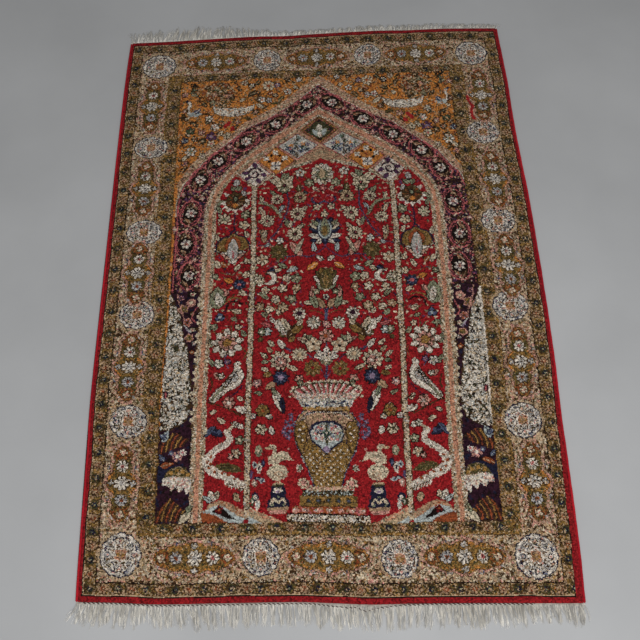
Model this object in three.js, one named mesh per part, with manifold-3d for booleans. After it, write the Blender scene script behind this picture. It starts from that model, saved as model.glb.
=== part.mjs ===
// A knotted prayer rug lying flat on a floor: the knotted body, its two overcast edge cords, and at each end
// the narrow pale web with its warp fringe.
// Millimetres, +Z up. X runs across the rug, Y along it, and the floor is at Z = 0.

import * as THREE from "three";
import { mergeVertices } from "three/addons/utils/BufferGeometryUtils.js";
import Module from "manifold-3d";

// Driving dimensions.
const RUG_HEIGHT = 6; // foundation and pile together
const PILE_SHOULDER = 4.6; // height at which the clipped pile starts to round over
const PILE_ROUND = 1.6; // how far the rounded edge of the pile reaches in
const SELVEDGE_WIDTH = 5;
const SELVEDGE_HEIGHT = 4.6;
const WEB_HEIGHT = 2;
const WEB_OVERHANG = 1.2; // how far each end web runs past the knotted corner
const NEAR_WEB_WIDTH = 4;
const FAR_WEB_WIDTH = 5;
const PIECE_GAP = 0.3;
const EDGE_STEPS = 56;
const WEB_STEPS = 40;
const SELVEDGE_STEPS = 48;
const SELVEDGE_SIDES = 8;

// The outline of the knotted body with its edge cords, measured along each side and each end.
// A woven rug is never quite straight, so each edge is a smooth curve through a few places.
const LEFT_EDGE = [
  { along: -679, across: -466.3 },
  { along: -580, across: -469.4 },
  { along: -470, across: -471.6 },
  { along: -380, across: -473.2 },
  { along: -290, across: -476.4 },
  { along: -130, across: -475.4 },
  { along: 40, across: -474.1 },
  { along: 230, across: -473.1 },
  { along: 440, across: -470.9 },
  { along: 560, across: -468.6 },
  { along: 671, across: -464.6 },
];
const RIGHT_EDGE = [
  { along: -699, across: 468 },
  { along: -600, across: 472.8 },
  { along: -465, across: 475.6 },
  { along: -320, across: 477.3 },
  { along: -236, across: 480.4 },
  { along: -70, across: 482.1 },
  { along: 110, across: 480.7 },
  { along: 210, across: 478.6 },
  { along: 320, across: 473.8 },
  { along: 420, across: 470.8 },
  { along: 530, across: 470.2 },
  { along: 645, across: 465.4 },
  { along: 702, across: 463.4 },
];
const NEAR_EDGE = [
  { along: -466, across: -673.6 },
  { along: -387, across: -676.9 },
  { along: -321, across: -681.2 },
  { along: -190, across: -682.1 },
  { along: -58, across: -683 },
  { along: 8, across: -686.6 },
  { along: 74, across: -690.4 },
  { along: 140, across: -690.4 },
  { along: 272, across: -692.2 },
  { along: 403, across: -695.4 },
  { along: 468, across: -696.8 },
];
const FAR_EDGE = [
  { along: -465, across: 671.2 },
  { along: -375, across: 674.6 },
  { along: -224, across: 683.4 },
  { along: -148, across: 687.4 },
  { along: -72, across: 687.6 },
  { along: 4, across: 692.8 },
  { along: 157, across: 700.2 },
  { along: 233, across: 700 },
  { along: 310, across: 703.2 },
  { along: 386, across: 702.8 },
  { along: 464, across: 701.6 },
];

// The fringe, from the left end of each web to the right: how long the strands are and how far the tips lean.
const NEAR_FRINGE = [
  { along: -466, reach: 34, lean: -15 },
  { along: -430, reach: 39, lean: -8 },
  { along: -330, reach: 37, lean: 5 },
  { along: -240, reach: 41, lean: 9 },
  { along: -150, reach: 37, lean: -3 },
  { along: -40, reach: 39, lean: 4 },
  { along: 60, reach: 41, lean: 8 },
  { along: 160, reach: 38, lean: -4 },
  { along: 270, reach: 39, lean: 3 },
  { along: 370, reach: 37, lean: 8 },
  { along: 466, reach: 36, lean: 2 },
];
const FAR_FRINGE = [
  { along: -466, reach: 33, lean: -4 },
  { along: -400, reach: 38, lean: 6 },
  { along: -320, reach: 43, lean: 11 },
  { along: -240, reach: 38, lean: 3 },
  { along: -170, reach: 30, lean: -7 },
  { along: -100, reach: 17, lean: 5 },
  { along: 0, reach: 13, lean: 7 },
  { along: 120, reach: 17, lean: -3 },
  { along: 240, reach: 19, lean: 5 },
  { along: 360, reach: 15, lean: 6 },
  { along: 466, reach: 13, lean: 2 },
];
const STRANDS_PER_END = 140;
const STRAND = { rootWidth: 3, tipWidth: 1.1, rootHeight: 1.6, tipHeight: 0.8, steps: 3, root: 2.2 };
const STRAND_SWAY = 0.9; // how far a strand waves to either side of its neighbours' common line
const STRAND_UNEVEN = 0.16; // share of its length by which a strand is longer or shorter than planned

const PILE_RED = new THREE.MeshStandardMaterial({ color: 0x8c1420, roughness: 0.95, metalness: 0 });
const OVERCAST_RED = new THREE.MeshStandardMaterial({ color: 0xa3101f, roughness: 0.8, metalness: 0 });
const WARP_CREAM = new THREE.MeshStandardMaterial({ color: 0xcfc9bb, roughness: 0.9, metalness: 0 });

const wasm = await Module();
wasm.setup();

// A smooth curve through a table's rows, read at any place along it. Past the ends it runs on straight.
function follow(rows, column) {
  return (along) => {
    const last = rows.length - 2;
    let i = 0;
    while (i < last && along > rows[i + 1].along) i += 1;
    const [a, b] = [rows[i], rows[i + 1]];
    const slope = (j) => {
      const low = rows[Math.max(j - 1, 0)];
      const high = rows[Math.min(j + 1, rows.length - 1)];
      return (high[column] - low[column]) / (high.along - low.along);
    };
    const span = b.along - a.along;
    const t = (along - a.along) / span;
    if (t < 0) return a[column] + slope(i) * (along - a.along);
    if (t > 1) return b[column] + slope(i + 1) * (along - b.along);
    const [t2, t3] = [t * t, t * t * t];
    return (
      (2 * t3 - 3 * t2 + 1) * a[column] +
      (t3 - 2 * t2 + t) * span * slope(i) +
      (3 * t2 - 2 * t3) * b[column] +
      (t3 - t2) * span * slope(i + 1)
    );
  };
}

const leftAt = follow(LEFT_EDGE, "across");
const rightAt = follow(RIGHT_EDGE, "across");
const nearAt = follow(NEAR_EDGE, "across");
const farAt = follow(FAR_EDGE, "across");

// A repeatable value between -1 and 1 for each whole number, so that no two strands are alike.
function uneven(index, salt) {
  const wave = Math.sin(index * 12.9898 + salt * 78.233) * 43758.5453;
  return 2 * (wave - Math.floor(wave)) - 1;
}

// A closed geometry from rings of points, each ring anticlockwise seen against the way that the rings advance.
function skinRings(rings) {
  const count = rings[0].length;
  const position = rings.flat(2);
  const index = [];
  for (let r = 0; r + 1 < rings.length; r += 1) {
    for (let i = 0; i < count; i += 1) {
      const j = (i + 1) % count;
      const [a, b, c, d] = [r * count + i, r * count + j, (r + 1) * count + j, (r + 1) * count + i];
      index.push(a, b, c, a, c, d);
    }
  }
  const cap = (ring, start, flip) => {
    const [origin, u, v] = ringPlane(ring);
    const flat = ring.map((p) => {
      const d = new THREE.Vector3(...p).sub(origin);
      return new THREE.Vector2(d.dot(u), d.dot(v));
    });
    for (const [a, b, c] of THREE.ShapeUtils.triangulateShape(flat, [])) {
      if (flip) index.push(start + a, start + c, start + b);
      else index.push(start + a, start + b, start + c);
    }
  };
  cap(rings[0], 0, true);
  cap(rings[rings.length - 1], (rings.length - 1) * count, false);
  const geometry = new THREE.BufferGeometry();
  geometry.setAttribute("position", new THREE.Float32BufferAttribute(position, 3));
  geometry.setIndex(index);
  return geometry;
}

// The plane of a ring as an origin and two directions, so that the ring turns anticlockwise in it.
function ringPlane(ring) {
  const points = ring.map((p) => new THREE.Vector3(...p));
  const origin = points[0];
  const normal = new THREE.Vector3();
  for (let i = 1; i + 1 < points.length; i += 1) {
    const one = points[i].clone().sub(origin);
    const two = points[i + 1].clone().sub(origin);
    normal.add(one.cross(two));
  }
  normal.normalize();
  const u = points[1].clone().sub(origin).normalize();
  return [origin, u, normal.cross(u)];
}

// The knotted body's outline, anticlockwise from the near left corner, drawn in by the given distance.
function bodyOutline(inset) {
  const side = SELVEDGE_WIDTH + PIECE_GAP + inset;
  const corner = (edgeX, edgeY, xSign, ySign) => {
    let [x, y] = [0, 0];
    for (let turn = 0; turn < 6; turn += 1) {
      x = edgeX(y) + xSign * side;
      y = edgeY(x) + ySign * inset;
    }
    return [x, y];
  };
  const nearLeft = corner(leftAt, nearAt, 1, 1);
  const nearRight = corner(rightAt, nearAt, -1, 1);
  const farRight = corner(rightAt, farAt, -1, -1);
  const farLeft = corner(leftAt, farAt, 1, -1);
  const points = [];
  for (let i = 0; i < EDGE_STEPS; i += 1) {
    const x = THREE.MathUtils.lerp(nearLeft[0], nearRight[0], i / EDGE_STEPS);
    points.push([x, nearAt(x) + inset]);
  }
  for (let i = 0; i < EDGE_STEPS; i += 1) {
    const y = THREE.MathUtils.lerp(nearRight[1], farRight[1], i / EDGE_STEPS);
    points.push([rightAt(y) - side, y]);
  }
  for (let i = 0; i < EDGE_STEPS; i += 1) {
    const x = THREE.MathUtils.lerp(farRight[0], farLeft[0], i / EDGE_STEPS);
    points.push([x, farAt(x) - inset]);
  }
  for (let i = 0; i < EDGE_STEPS; i += 1) {
    const y = THREE.MathUtils.lerp(farLeft[1], nearLeft[1], i / EDGE_STEPS);
    points.push([leftAt(y) + side, y]);
  }
  return points;
}

// The knotted body: flat below, with the pile's clipped edge rounded over above.
function knottedBody() {
  const levels = [
    { height: 0, inset: 0 },
    { height: PILE_SHOULDER, inset: 0 },
    { height: (PILE_SHOULDER + 2 * RUG_HEIGHT) / 3, inset: PILE_ROUND * 0.35 },
    { height: RUG_HEIGHT, inset: PILE_ROUND },
  ];
  return skinRings(levels.map(({ height, inset }) => bodyOutline(inset).map(([x, y]) => [x, y, height])));
}

// An edge cord: a rounded section with a flat foot, led along the side of the body.
function edgeCord(edgeAt, inward) {
  const half = SELVEDGE_WIDTH / 2;
  const middle = (y) => edgeAt(y) + inward * half;
  const startY = nearAt(middle(nearAt(0))) + 0.4;
  const endY = farAt(middle(farAt(0))) - 0.4;
  const rings = [];
  for (let i = 0; i <= SELVEDGE_STEPS; i += 1) {
    const t = i / SELVEDGE_STEPS;
    const y = THREE.MathUtils.lerp(startY, endY, t);
    const end = Math.min(t, 1 - t) * (endY - startY);
    const swell = THREE.MathUtils.lerp(0.72, 1, Math.min(end / 12, 1));
    const ring = [];
    for (let k = 0; k < SELVEDGE_SIDES; k += 1) {
      const angle = (2 * Math.PI * (k + 0.5)) / SELVEDGE_SIDES - Math.PI / 2;
      const lift = Math.sin(angle) / Math.cos(Math.PI / SELVEDGE_SIDES);
      const z = (SELVEDGE_HEIGHT / 2) * swell * (1 + lift);
      ring.push([middle(y) - half * swell * Math.cos(angle), y, z]);
    }
    rings.push(ring);
  }
  return skinRings(rings);
}

// A long flat strip that follows an end of the body between two distances out from it.
function endStrip(edgeAt, outward, from, to, height, leftX, rightX) {
  const rings = [];
  for (let i = 0; i <= WEB_STEPS; i += 1) {
    const x = THREE.MathUtils.lerp(leftX, rightX, i / WEB_STEPS);
    const near = edgeAt(x) + outward * from;
    const far = edgeAt(x) + outward * to;
    const ring = [
      [x, near, 0],
      [x, far, 0],
      [x, far, height],
      [x, near, height],
    ];
    rings.push(outward > 0 ? ring : ring.reverse());
  }
  return skinRings(rings);
}

// One strand of four sides. It leaves the web, waves a little and lies on the floor to its tip.
function strand(rootX, rootY, outward, reach, lean, index) {
  const rings = [];
  for (let i = 0; i <= STRAND.steps; i += 1) {
    const t = i / STRAND.steps;
    const sway = STRAND_SWAY * Math.sin(2.6 * Math.PI * t + 3 * uneven(index, 3)) * Math.sin((Math.PI * t) / 2);
    const x = rootX + lean * t ** 1.5 + sway;
    const y = rootY + outward * (t * (reach + STRAND.root) - STRAND.root);
    const half = THREE.MathUtils.lerp(STRAND.rootWidth, STRAND.tipWidth, t) / 2;
    const height = THREE.MathUtils.lerp(STRAND.rootHeight, STRAND.tipHeight, t);
    const ring = [
      [x - half, y, 0],
      [x + half, y, 0],
      [x + half * 0.6, y, height],
      [x - half * 0.6, y, height],
    ];
    rings.push(outward > 0 ? ring.reverse() : ring);
  }
  return skinRings(rings);
}

function toSolid(geometry) {
  const bare = new THREE.BufferGeometry();
  bare.setAttribute("position", geometry.getAttribute("position"));
  bare.setIndex(geometry.index);
  const merged = mergeVertices(bare, 1e-4);
  const vertProperties = new Float32Array(merged.getAttribute("position").array);
  const triVerts = new Uint32Array(merged.index.array);
  return new wasm.Manifold(new wasm.Mesh({ numProp: 3, vertProperties, triVerts }));
}

function toGeometry(solid) {
  const mesh = solid.getMesh();
  const geometry = new THREE.BufferGeometry();
  geometry.setAttribute("position", new THREE.BufferAttribute(mesh.vertProperties, 3));
  geometry.setIndex(new THREE.BufferAttribute(mesh.triVerts, 1));
  return geometry;
}

// A woven end web with its strands, joined at their roots.
function fringe({ edgeAt, outward, from, width, rows }) {
  const leftX = leftAt(edgeAt(-466)) - WEB_OVERHANG + SELVEDGE_WIDTH / 2;
  const rightX = rightAt(edgeAt(466)) + WEB_OVERHANG - SELVEDGE_WIDTH / 2;
  const reachAt = follow(rows, "reach");
  const leanAt = follow(rows, "lean");
  const solids = [toSolid(endStrip(edgeAt, outward, from, from + width, WEB_HEIGHT, leftX, rightX))];
  const pitch = (rightX - leftX - STRAND.rootWidth - 1) / (STRANDS_PER_END - 1);
  for (let i = 0; i < STRANDS_PER_END; i += 1) {
    const x = leftX + 0.5 + STRAND.rootWidth / 2 + i * pitch;
    const rootY = edgeAt(x) + outward * (from + width);
    const reach = reachAt(x) * (1 + STRAND_UNEVEN * uneven(i, 1));
    const lean = leanAt(x) + 0.8 * uneven(i, 2);
    solids.push(toSolid(strand(x, rootY, outward, reach, lean, i)));
  }
  return toGeometry(wasm.Manifold.union(solids));
}

const pieces = new THREE.Group();

function addPiece(name, geometry, material) {
  const mesh = new THREE.Mesh(geometry, material);
  mesh.name = name;
  pieces.add(mesh);
}

addPiece("rug", knottedBody(), PILE_RED);
addPiece("selvedge_left", edgeCord(leftAt, 1), OVERCAST_RED);
addPiece("selvedge_right", edgeCord(rightAt, -1), OVERCAST_RED);
addPiece(
  "fringe_near",
  fringe({ edgeAt: nearAt, outward: -1, from: PIECE_GAP, width: NEAR_WEB_WIDTH, rows: NEAR_FRINGE }),
  WARP_CREAM,
);
addPiece(
  "fringe_far",
  fringe({ edgeAt: farAt, outward: 1, from: PIECE_GAP, width: FAR_WEB_WIDTH, rows: FAR_FRINGE }),
  WARP_CREAM,
);

// The frame's origin is under the middle of everything, on the floor.
const box = new THREE.Box3().setFromObject(pieces);
const middle = box.getCenter(new THREE.Vector3());
pieces.position.set(-middle.x, -middle.y, -box.min.z);

const root = new THREE.Group();
root.add(pieces);

export default root;
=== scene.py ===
import math

import bpy
import numpy as np
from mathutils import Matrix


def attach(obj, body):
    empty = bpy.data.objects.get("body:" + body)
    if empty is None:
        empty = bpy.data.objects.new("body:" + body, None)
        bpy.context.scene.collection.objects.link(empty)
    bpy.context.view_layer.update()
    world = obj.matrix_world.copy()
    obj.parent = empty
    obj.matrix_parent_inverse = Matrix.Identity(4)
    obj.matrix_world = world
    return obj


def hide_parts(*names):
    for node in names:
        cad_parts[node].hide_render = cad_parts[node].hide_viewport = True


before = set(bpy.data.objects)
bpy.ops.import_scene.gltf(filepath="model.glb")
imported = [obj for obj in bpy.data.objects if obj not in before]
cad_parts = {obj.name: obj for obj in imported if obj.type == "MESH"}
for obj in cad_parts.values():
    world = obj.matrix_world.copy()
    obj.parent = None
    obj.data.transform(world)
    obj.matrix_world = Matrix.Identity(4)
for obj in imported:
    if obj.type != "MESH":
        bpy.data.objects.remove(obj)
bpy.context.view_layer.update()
bpy.ops.object.select_all(action="DESELECT")

# The pattern: the weaver works from a cartoon, squared paper with one colour for each knot. It is drawn
# here in the same way, mark by mark, because both the face and the back of the rug show its knots.
# Places in the cartoon are millimetres across the rug from its left edge and along it from its near end.
DYES = {
    "black": (30, 20, 16),
    "navy": (34, 34, 54),
    "aubergine": (50, 25, 37),
    "madder": (150, 31, 35),
    "deep_madder": (112, 26, 30),
    "scarlet": (174, 44, 44),
    "rose": (186, 98, 98),
    "pink": (212, 152, 138),
    "salmon": (202, 144, 114),
    "tan": (176, 142, 112),
    "sand": (194, 166, 132),
    "cream": (216, 198, 170),
    "ivory": (228, 216, 200),
    "pearl": (190, 184, 178),
    "gold": (140, 108, 58),
    "ochre": (164, 122, 64),
    "orange": (208, 132, 64),
    "rust": (148, 76, 44),
    "umber": (72, 50, 30),
    "olive": (92, 82, 46),
    "moss": (62, 60, 40),
    "green": (64, 84, 62),
    "sage": (144, 148, 120),
    "slate": (84, 90, 114),
    "lilac": (154, 132, 154),
    "violet": (92, 58, 88),
    "mist": (178, 184, 180),
}
DYE = {name: number for number, name in enumerate(DYES)}
BLOCKS_ACROSS, BLOCKS_ALONG, KNOTS_PER_BLOCK = 250, 375, 3
PLAN_WIDTH, PLAN_LENGTH = 940.0, 1380.0
PILE_LEFT, PILE_NEAR = 5.3, 3.0
# The middle line of the field wanders, and the right side runs ahead of the left, as the warps were strung.
MIDDLE = (
    (0, 470), (300, 470.5), (450, 473), (600, 474.5), (800, 477), (960, 476.5), (1070, 474.6),
    (1380, 472.5)
)
TILT = ((0, -1), (350, 0), (600, 1.5), (800, 3.6), (1050, 9), (1250, 5.6), (1380, 0))


def table(rows, at):
    """The values between the rows of a short table of places and values."""
    places, values = zip(*rows)
    return np.interp(at, places, values)


def wander(across, along, seed, size):
    """Uneven beating: a smooth drift of a given size in millimetres that differs all over the cloth."""
    drawn = np.random.default_rng(seed)
    drift = np.zeros(across.shape)
    for length in (310, 170, 90, 47):
        for _ in range(3):
            turn, phase = drawn.random(2) * 2 * np.pi
            drift += np.sin((across * np.cos(turn) + along * np.sin(turn)) * 2 * np.pi / length + phase)
    return drift * size / 3.5


def through(route):
    """A smooth curve through the points of a route."""
    points = np.array(route, float)
    if len(points) < 3:
        return points
    padded = np.vstack([2 * points[0] - points[1], points, 2 * points[-1] - points[-2]])
    fine = np.linspace(0, len(points) - 1, (len(points) - 1) * 5 + 1)
    part = np.minimum(fine.astype(int), len(points) - 2)
    t = (fine - part)[:, None]
    a, b, c, d = (padded[part + k] for k in range(4))
    return 0.5 * (2 * b + (c - a) * t + (2 * a - 5 * b + 4 * c - d) * t**2 + (3 * b - a - 3 * c + d) * t**3)


def strew(knots, hit, dyes, draws):
    """Fills some knots with dyes out of a list of names, as the draws for them say."""
    numbers = np.array([DYE[name] for name in dyes.split()])
    knots[hit] = numbers[(draws * len(numbers)).astype(int)][hit]


class Paper:
    """Squared paper. Each mark is given its place in millimetres and fills the knots that it covers."""

    def __init__(self, across, along, knots, middle=0.0, mirrored=False):
        self.across, self.along, self.knots = across, along, knots
        self.middle, self.mirrored = middle, mirrored

    def at(self, p, q, reach):
        """Gives the places about a point, on both sides of the middle where the paper is mirrored."""
        rows, columns = self.knots.shape
        slack = reach + 16
        wide, high = slack / (PLAN_WIDTH - 2 * PILE_LEFT) * columns, slack / (PLAN_LENGTH - PILE_NEAR) * rows
        for side in (1, -1) if self.mirrored and p else (1,):
            column = (side * p + self.middle - PILE_LEFT) / (PLAN_WIDTH - 2 * PILE_LEFT) * columns
            row = (q - PILE_NEAR) / (PLAN_LENGTH - PILE_NEAR) * rows
            left, right = max(int(column - wide), 0), max(int(column + wide), 0)
            low, top = max(int(row - high), 0), max(int(row + high), 0)
            part = np.s_[low:top, left:right]
            yield side * self.across[part] - p, self.along[part] - q, self.knots[part]

    def oval(self, p, q, wide, high, dye, turn=0.0):
        """A filled oval, given by its middle and its reach both ways."""
        c, s = math.cos(turn), math.sin(turn)
        for x, y, knots in self.at(p, q, max(wide, high)):
            knots[((c * x + s * y) / wide) ** 2 + ((c * y - s * x) / high) ** 2 < 1] = DYE[dye]

    def shape(self, corners, dye, edge=None):
        """A filled patch with the given corners, maybe with an outline."""
        points = np.array(corners, float)
        centre = (points.min(0) + points.max(0)) / 2
        for x, y, knots in self.at(*centre, np.abs(points - centre).max()):
            inside = np.zeros(x.shape, bool)
            for (x0, y0), (x1, y1) in zip(points - centre, np.roll(points, -1, 0) - centre):
                if y0 != y1:
                    inside ^= ((y0 > y) != (y1 > y)) & (x < (x1 - x0) * (y - y0) / (y1 - y0) + x0)
            knots[inside] = DYE[dye]
        if edge:
            self.line(corners + corners[:1], 1.5, edge)

    def line(self, route, width, dye, edge=None, dots=None):
        """A stalk or outline: a smooth curve through the route, maybe with a darker edge or with dots."""
        points = through(route)
        centre = (points.min(0) + points.max(0)) / 2
        reach = np.abs(points - centre).max() + width
        for x, y, knots in self.at(*centre, reach):
            near = np.full(x.shape, 1e9)
            far = np.zeros(x.shape)
            done = 0.0
            for (x0, y0), (x1, y1) in zip(points[:-1] - centre, points[1:] - centre):
                dx, dy = x1 - x0, y1 - y0
                long = math.hypot(dx, dy) + 1e-9
                t = np.clip(((x - x0) * dx + (y - y0) * dy) / long**2, 0, 1)
                away = np.hypot(x - x0 - t * dx, y - y0 - t * dy)
                far = np.where(away < near, done + t * long, far)
                near = np.minimum(near, away)
                done += long
            if edge:
                knots[near < width / 2 + 1.3] = DYE[edge]
            knots[near < width / 2] = DYE[dye]
            if dots:
                knots[(near < width / 2) & (np.sin(far * 2 * np.pi / 4.6) > 0.2)] = DYE[dots]

    def leaf(self, start, end, width, dye, vein=None, edge="black"):
        """A pointed leaf from its stalk to its tip."""
        (p0, q0), (p1, q1) = start, end
        length = math.hypot(p1 - p0, q1 - q0)
        c, s = (p1 - p0) / length, (q1 - q0) / length
        for x, y, knots in self.at((p0 + p1) / 2, (q0 + q1) / 2, length / 2 + width):
            t = (x * c + y * s) / length + 0.5
            off = y * c - x * s
            half = width / 2 * np.sin(np.pi * np.clip(t, 0, 1) ** 0.8) ** 0.7
            inside = (t > 0) & (t < 1)
            if edge:
                knots[inside & (np.abs(off) < half + 1.7)] = DYE[edge]
            knots[inside & (np.abs(off) < half)] = DYE[dye]
            if vein:
                knots[inside & (np.abs(off) < 0.7) & (t < 0.85)] = DYE[vein]

    def flower(self, p, q, r, petals, petal, gap, heart, core=0.3, rim=None, turn=0.3):
        """A flower seen from above: petals about a heart, with dark gaps between them and maybe a rim."""
        for x, y, knots in self.at(p, q, r * 1.3):
            ray, angle = np.hypot(x, y), np.arctan2(y, x) + turn
            wave = np.cos(petals * angle)
            edge = r * (0.88 + 0.12 * wave)
            if rim:
                knots[ray < edge + 2.0] = DYE[rim]
            knots[ray < edge] = DYE[petal]
            knots[(ray < edge * 0.97) & (ray > core * r) & (wave < -0.5)] = DYE[gap]
            knots[ray < core * r] = DYE[heart]

    def leaves(self, rows):
        """Leaves, each with its stalk, tip, width and dye, and its vein's dye where that isn't umber."""
        for p0, q0, p1, q1, width, dye, *vein in rows:
            self.leaf((p0, q0), (p1, q1), width, dye, *(vein or ["umber"]))

    def flowers(self, rows, rim="black"):
        """Flowers, each with its place, radius, petals and the dyes of petals, gaps and heart.

        The size of the heart and a rim of its own follow where they aren't the usual ones.
        """
        for p, q, r, petals, dyes, *own in rows:
            core, own_rim = (*own, *(0.3, rim)[len(own):])
            self.flower(p, q, r, petals, *dyes.split(), core, own_rim, turn=p * 0.37)

    def sprigs(self, inside, pitch, leaves, stalks, seed, fill=0.5):
        """Small filling: a leaf and a stalk turned at random in each square of the given pitch."""
        drawn = np.random.default_rng(seed).random((5, 64, 64))
        row = np.floor(self.along / pitch)
        shifted = self.across / pitch + 0.5 * (row % 2)
        column = np.floor(shifted)
        pick = drawn[:, (row % 64).astype(int), (column % 64).astype(int)]
        x, y = shifted - column - 0.5, self.along / pitch - row - 0.5
        turn = pick[0] * 2 * np.pi
        a, b = x * np.cos(turn) + y * np.sin(turn), y * np.cos(turn) - x * np.sin(turn)
        leaf = inside & ((a - 0.12) ** 2 / 0.1 + b**2 / 0.028 < 1) & (pick[1] < fill)
        stalk = inside & (np.abs(b + 0.3 * a * a) < 0.1) & (a < 0.05) & (a > -0.5) & (pick[3] < fill)
        strew(self.knots, leaf, leaves, pick[2])
        strew(self.knots, stalk, stalks, pick[4])

    def specks(self, inside, dyes, share, seed):
        """Single knots of other colours, strewn over a share of the ground."""
        drawn = np.random.default_rng(seed).random((2,) + self.knots.shape)
        strew(self.knots, inside & (drawn[0] < share), dyes, drawn[1])


knots_across, knots_along = BLOCKS_ACROSS * KNOTS_PER_BLOCK, BLOCKS_ALONG * KNOTS_PER_BLOCK
u, v = np.meshgrid(
    PILE_LEFT + (np.arange(knots_across) + 0.5) / knots_across * (PLAN_WIDTH - 2 * PILE_LEFT),
    PILE_NEAR + (np.arange(knots_along) + 0.5) / knots_along * (PLAN_LENGTH - PILE_NEAR),
)
knots = np.full(u.shape, DYE["madder"], np.uint8)
u, v = u + wander(u, v, 3, 0.7), v + wander(u, v, 4, 0.8)
p = u - table(MIDDLE, v)
q = v - table(TILT, v) * p / (PLAN_WIDTH / 2)
border = Paper(u, v, knots)
FIELD_MIDDLE = 473.0
field = Paper(p, q, knots, middle=FIELD_MIDDLE, mirrored=True)
aside = np.abs(p)

# Red ground at the edge, then guard, main border, thin line and inner guard, each inside the last.
inward = {"left": u, "right": PLAN_WIDTH - u, "near": v, "far": PLAN_LENGTH - v}


def framed(left, right, near, far):
    """All that lies further in than these distances from the four edges."""
    limits = {"left": left, "right": right, "near": near, "far": far}
    return np.all([inward[side] > limits[side] for side in limits], axis=0)


# The red edge is wider towards the near corner on the right.
red_edge = table(((0, 8), (150, 5.5), (420, 0)), v)
FRAME_LINE = framed(10.6, 10.6 + red_edge, 13.1, 10.6)
OUTER_GUARD = framed(14.2, 14.2 + red_edge, 17.2, 14.2)
MAIN_LINE = framed(35.2, 37.2, 37, 34.6)
MAIN_BORDER = framed(37.5, 39.5, 39.3, 37)
THIN_LINE = framed(105.6, 106.6, 123.6, 116.6)
INNER_GUARD = framed(109, 110, 129.5, 120)
FIELD_LINE = framed(139.5, 139.5, 148.5, 137.5)
FIELD = framed(141, 141, 150, 139)
for part, dye in (
    (FRAME_LINE, "black"),
    (framed(12.4, 12.4 + red_edge, 15.2, 12.4), "sand"),
    (OUTER_GUARD, "gold"),
    (MAIN_LINE, "black"),
    (MAIN_BORDER, "tan"),
    (THIN_LINE, "umber"),
    (framed(107.2, 108.2, 125.5, 118.2), "ochre"),
    (INNER_GUARD, "gold"),
    (FIELD_LINE, "umber"),
    (FIELD, "madder"),
):
    knots[part] = DYE[dye]

outer_ground = OUTER_GUARD & ~MAIN_LINE
inner_ground = INNER_GUARD & ~FIELD_LINE
main_ground = MAIN_BORDER & ~THIN_LINE
border.sprigs(outer_ground, 5.2, "umber tan moss rust sand", "umber black", 11, 0.8)
border.sprigs(inner_ground, 5.0, "umber tan moss rust sand", "umber black", 12, 0.8)
border.sprigs(main_ground, 7.5, "sand pink gold salmon sage", "umber olive moss", 13, 0.9)
border.sprigs(main_ground, 5.5, "pink sand rust olive", "umber black green", 14, 0.5)
border.specks(THIN_LINE & ~INNER_GUARD, "umber sand olive", 0.4, 15)


def mottle(where, dyes, pitch, seed, share=1.0):
    """Broken ground: tufts of several dyes in grains about as wide as the pitch, as small leaves look."""
    drawn = np.random.default_rng(seed).random((3, 97, 97))
    row = np.floor(v / pitch)
    column = np.floor(u / pitch + drawn[2, (row % 97).astype(int), 0] * 3)
    pick = drawn[:2, (row % 97).astype(int), (column % 97).astype(int)]
    strew(knots, where & (pick[0] < share), dyes, pick[1])


def curls(where, dye, pitch, width, seed):
    """Thin curling lines, as stalks and the edges of small leaves look when they are a few knots wide."""
    drawn = np.random.default_rng(seed).random((67, 67))
    column, row = np.floor(u / pitch).astype(int), np.floor(v / pitch).astype(int)
    a, b = u / pitch - column, v / pitch - row
    a, b = a * a * (3 - 2 * a), b * b * (3 - 2 * b)
    low = drawn[row % 67, column % 67] * (1 - a) + drawn[row % 67, (column + 1) % 67] * a
    high = drawn[(row + 1) % 67, column % 67] * (1 - a) + drawn[(row + 1) % 67, (column + 1) % 67] * a
    knots[where & (np.abs(low * (1 - b) + high * b - 0.5) < width)] = DYE[dye]


mottle(main_ground, "tan sand sand pink cream salmon sand tan cream", 4.0, 21, 0.7)
mottle(main_ground, "olive sand umber pink gold umber", 5.0, 22, 0.24)
curls(main_ground, "umber", 9.5, 0.055, 29)
curls(main_ground, "cream", 8.0, 0.035, 30)
mottle(main_ground, "umber ochre sand cream", 2.6, 20, 0.16)
for guard, seed in ((outer_ground, 23), (inner_ground, 24)):
    mottle(guard, "gold olive ochre umber tan", 3.4, seed, 0.5)


def guard_flower(x, y, dark):
    """A small round flower of the guards: dark with pale buds about it, or brown and pink."""
    for dx, dy in ((-12, 5.5), (12, -5.5), (-12, -6), (12, 6)):
        border.oval(x + dx, y + dy, 3.6, 1.8, "moss" if dark else "umber", turn=0.7 if dx * dy < 0 else -0.7)
        border.oval(x + dx * 0.82, y + dy * 1.4, 1.7, 1.2, "sand", turn=0.7)
    if dark:
        border.flower(x, y, 9.6, 6, "olive", "gold", "moss", core=0.75, rim="umber", turn=0.2)
        border.flower(x, y, 5.6, 5, "navy", "black", "sage", core=0.3)
    else:
        border.flower(x, y, 9.4, 6, "tan", "umber", "ochre", core=0.4, rim="umber", turn=0.2)
        border.flower(x, y, 4.6, 5, "rust", "umber", "sand", core=0.34)


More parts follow.
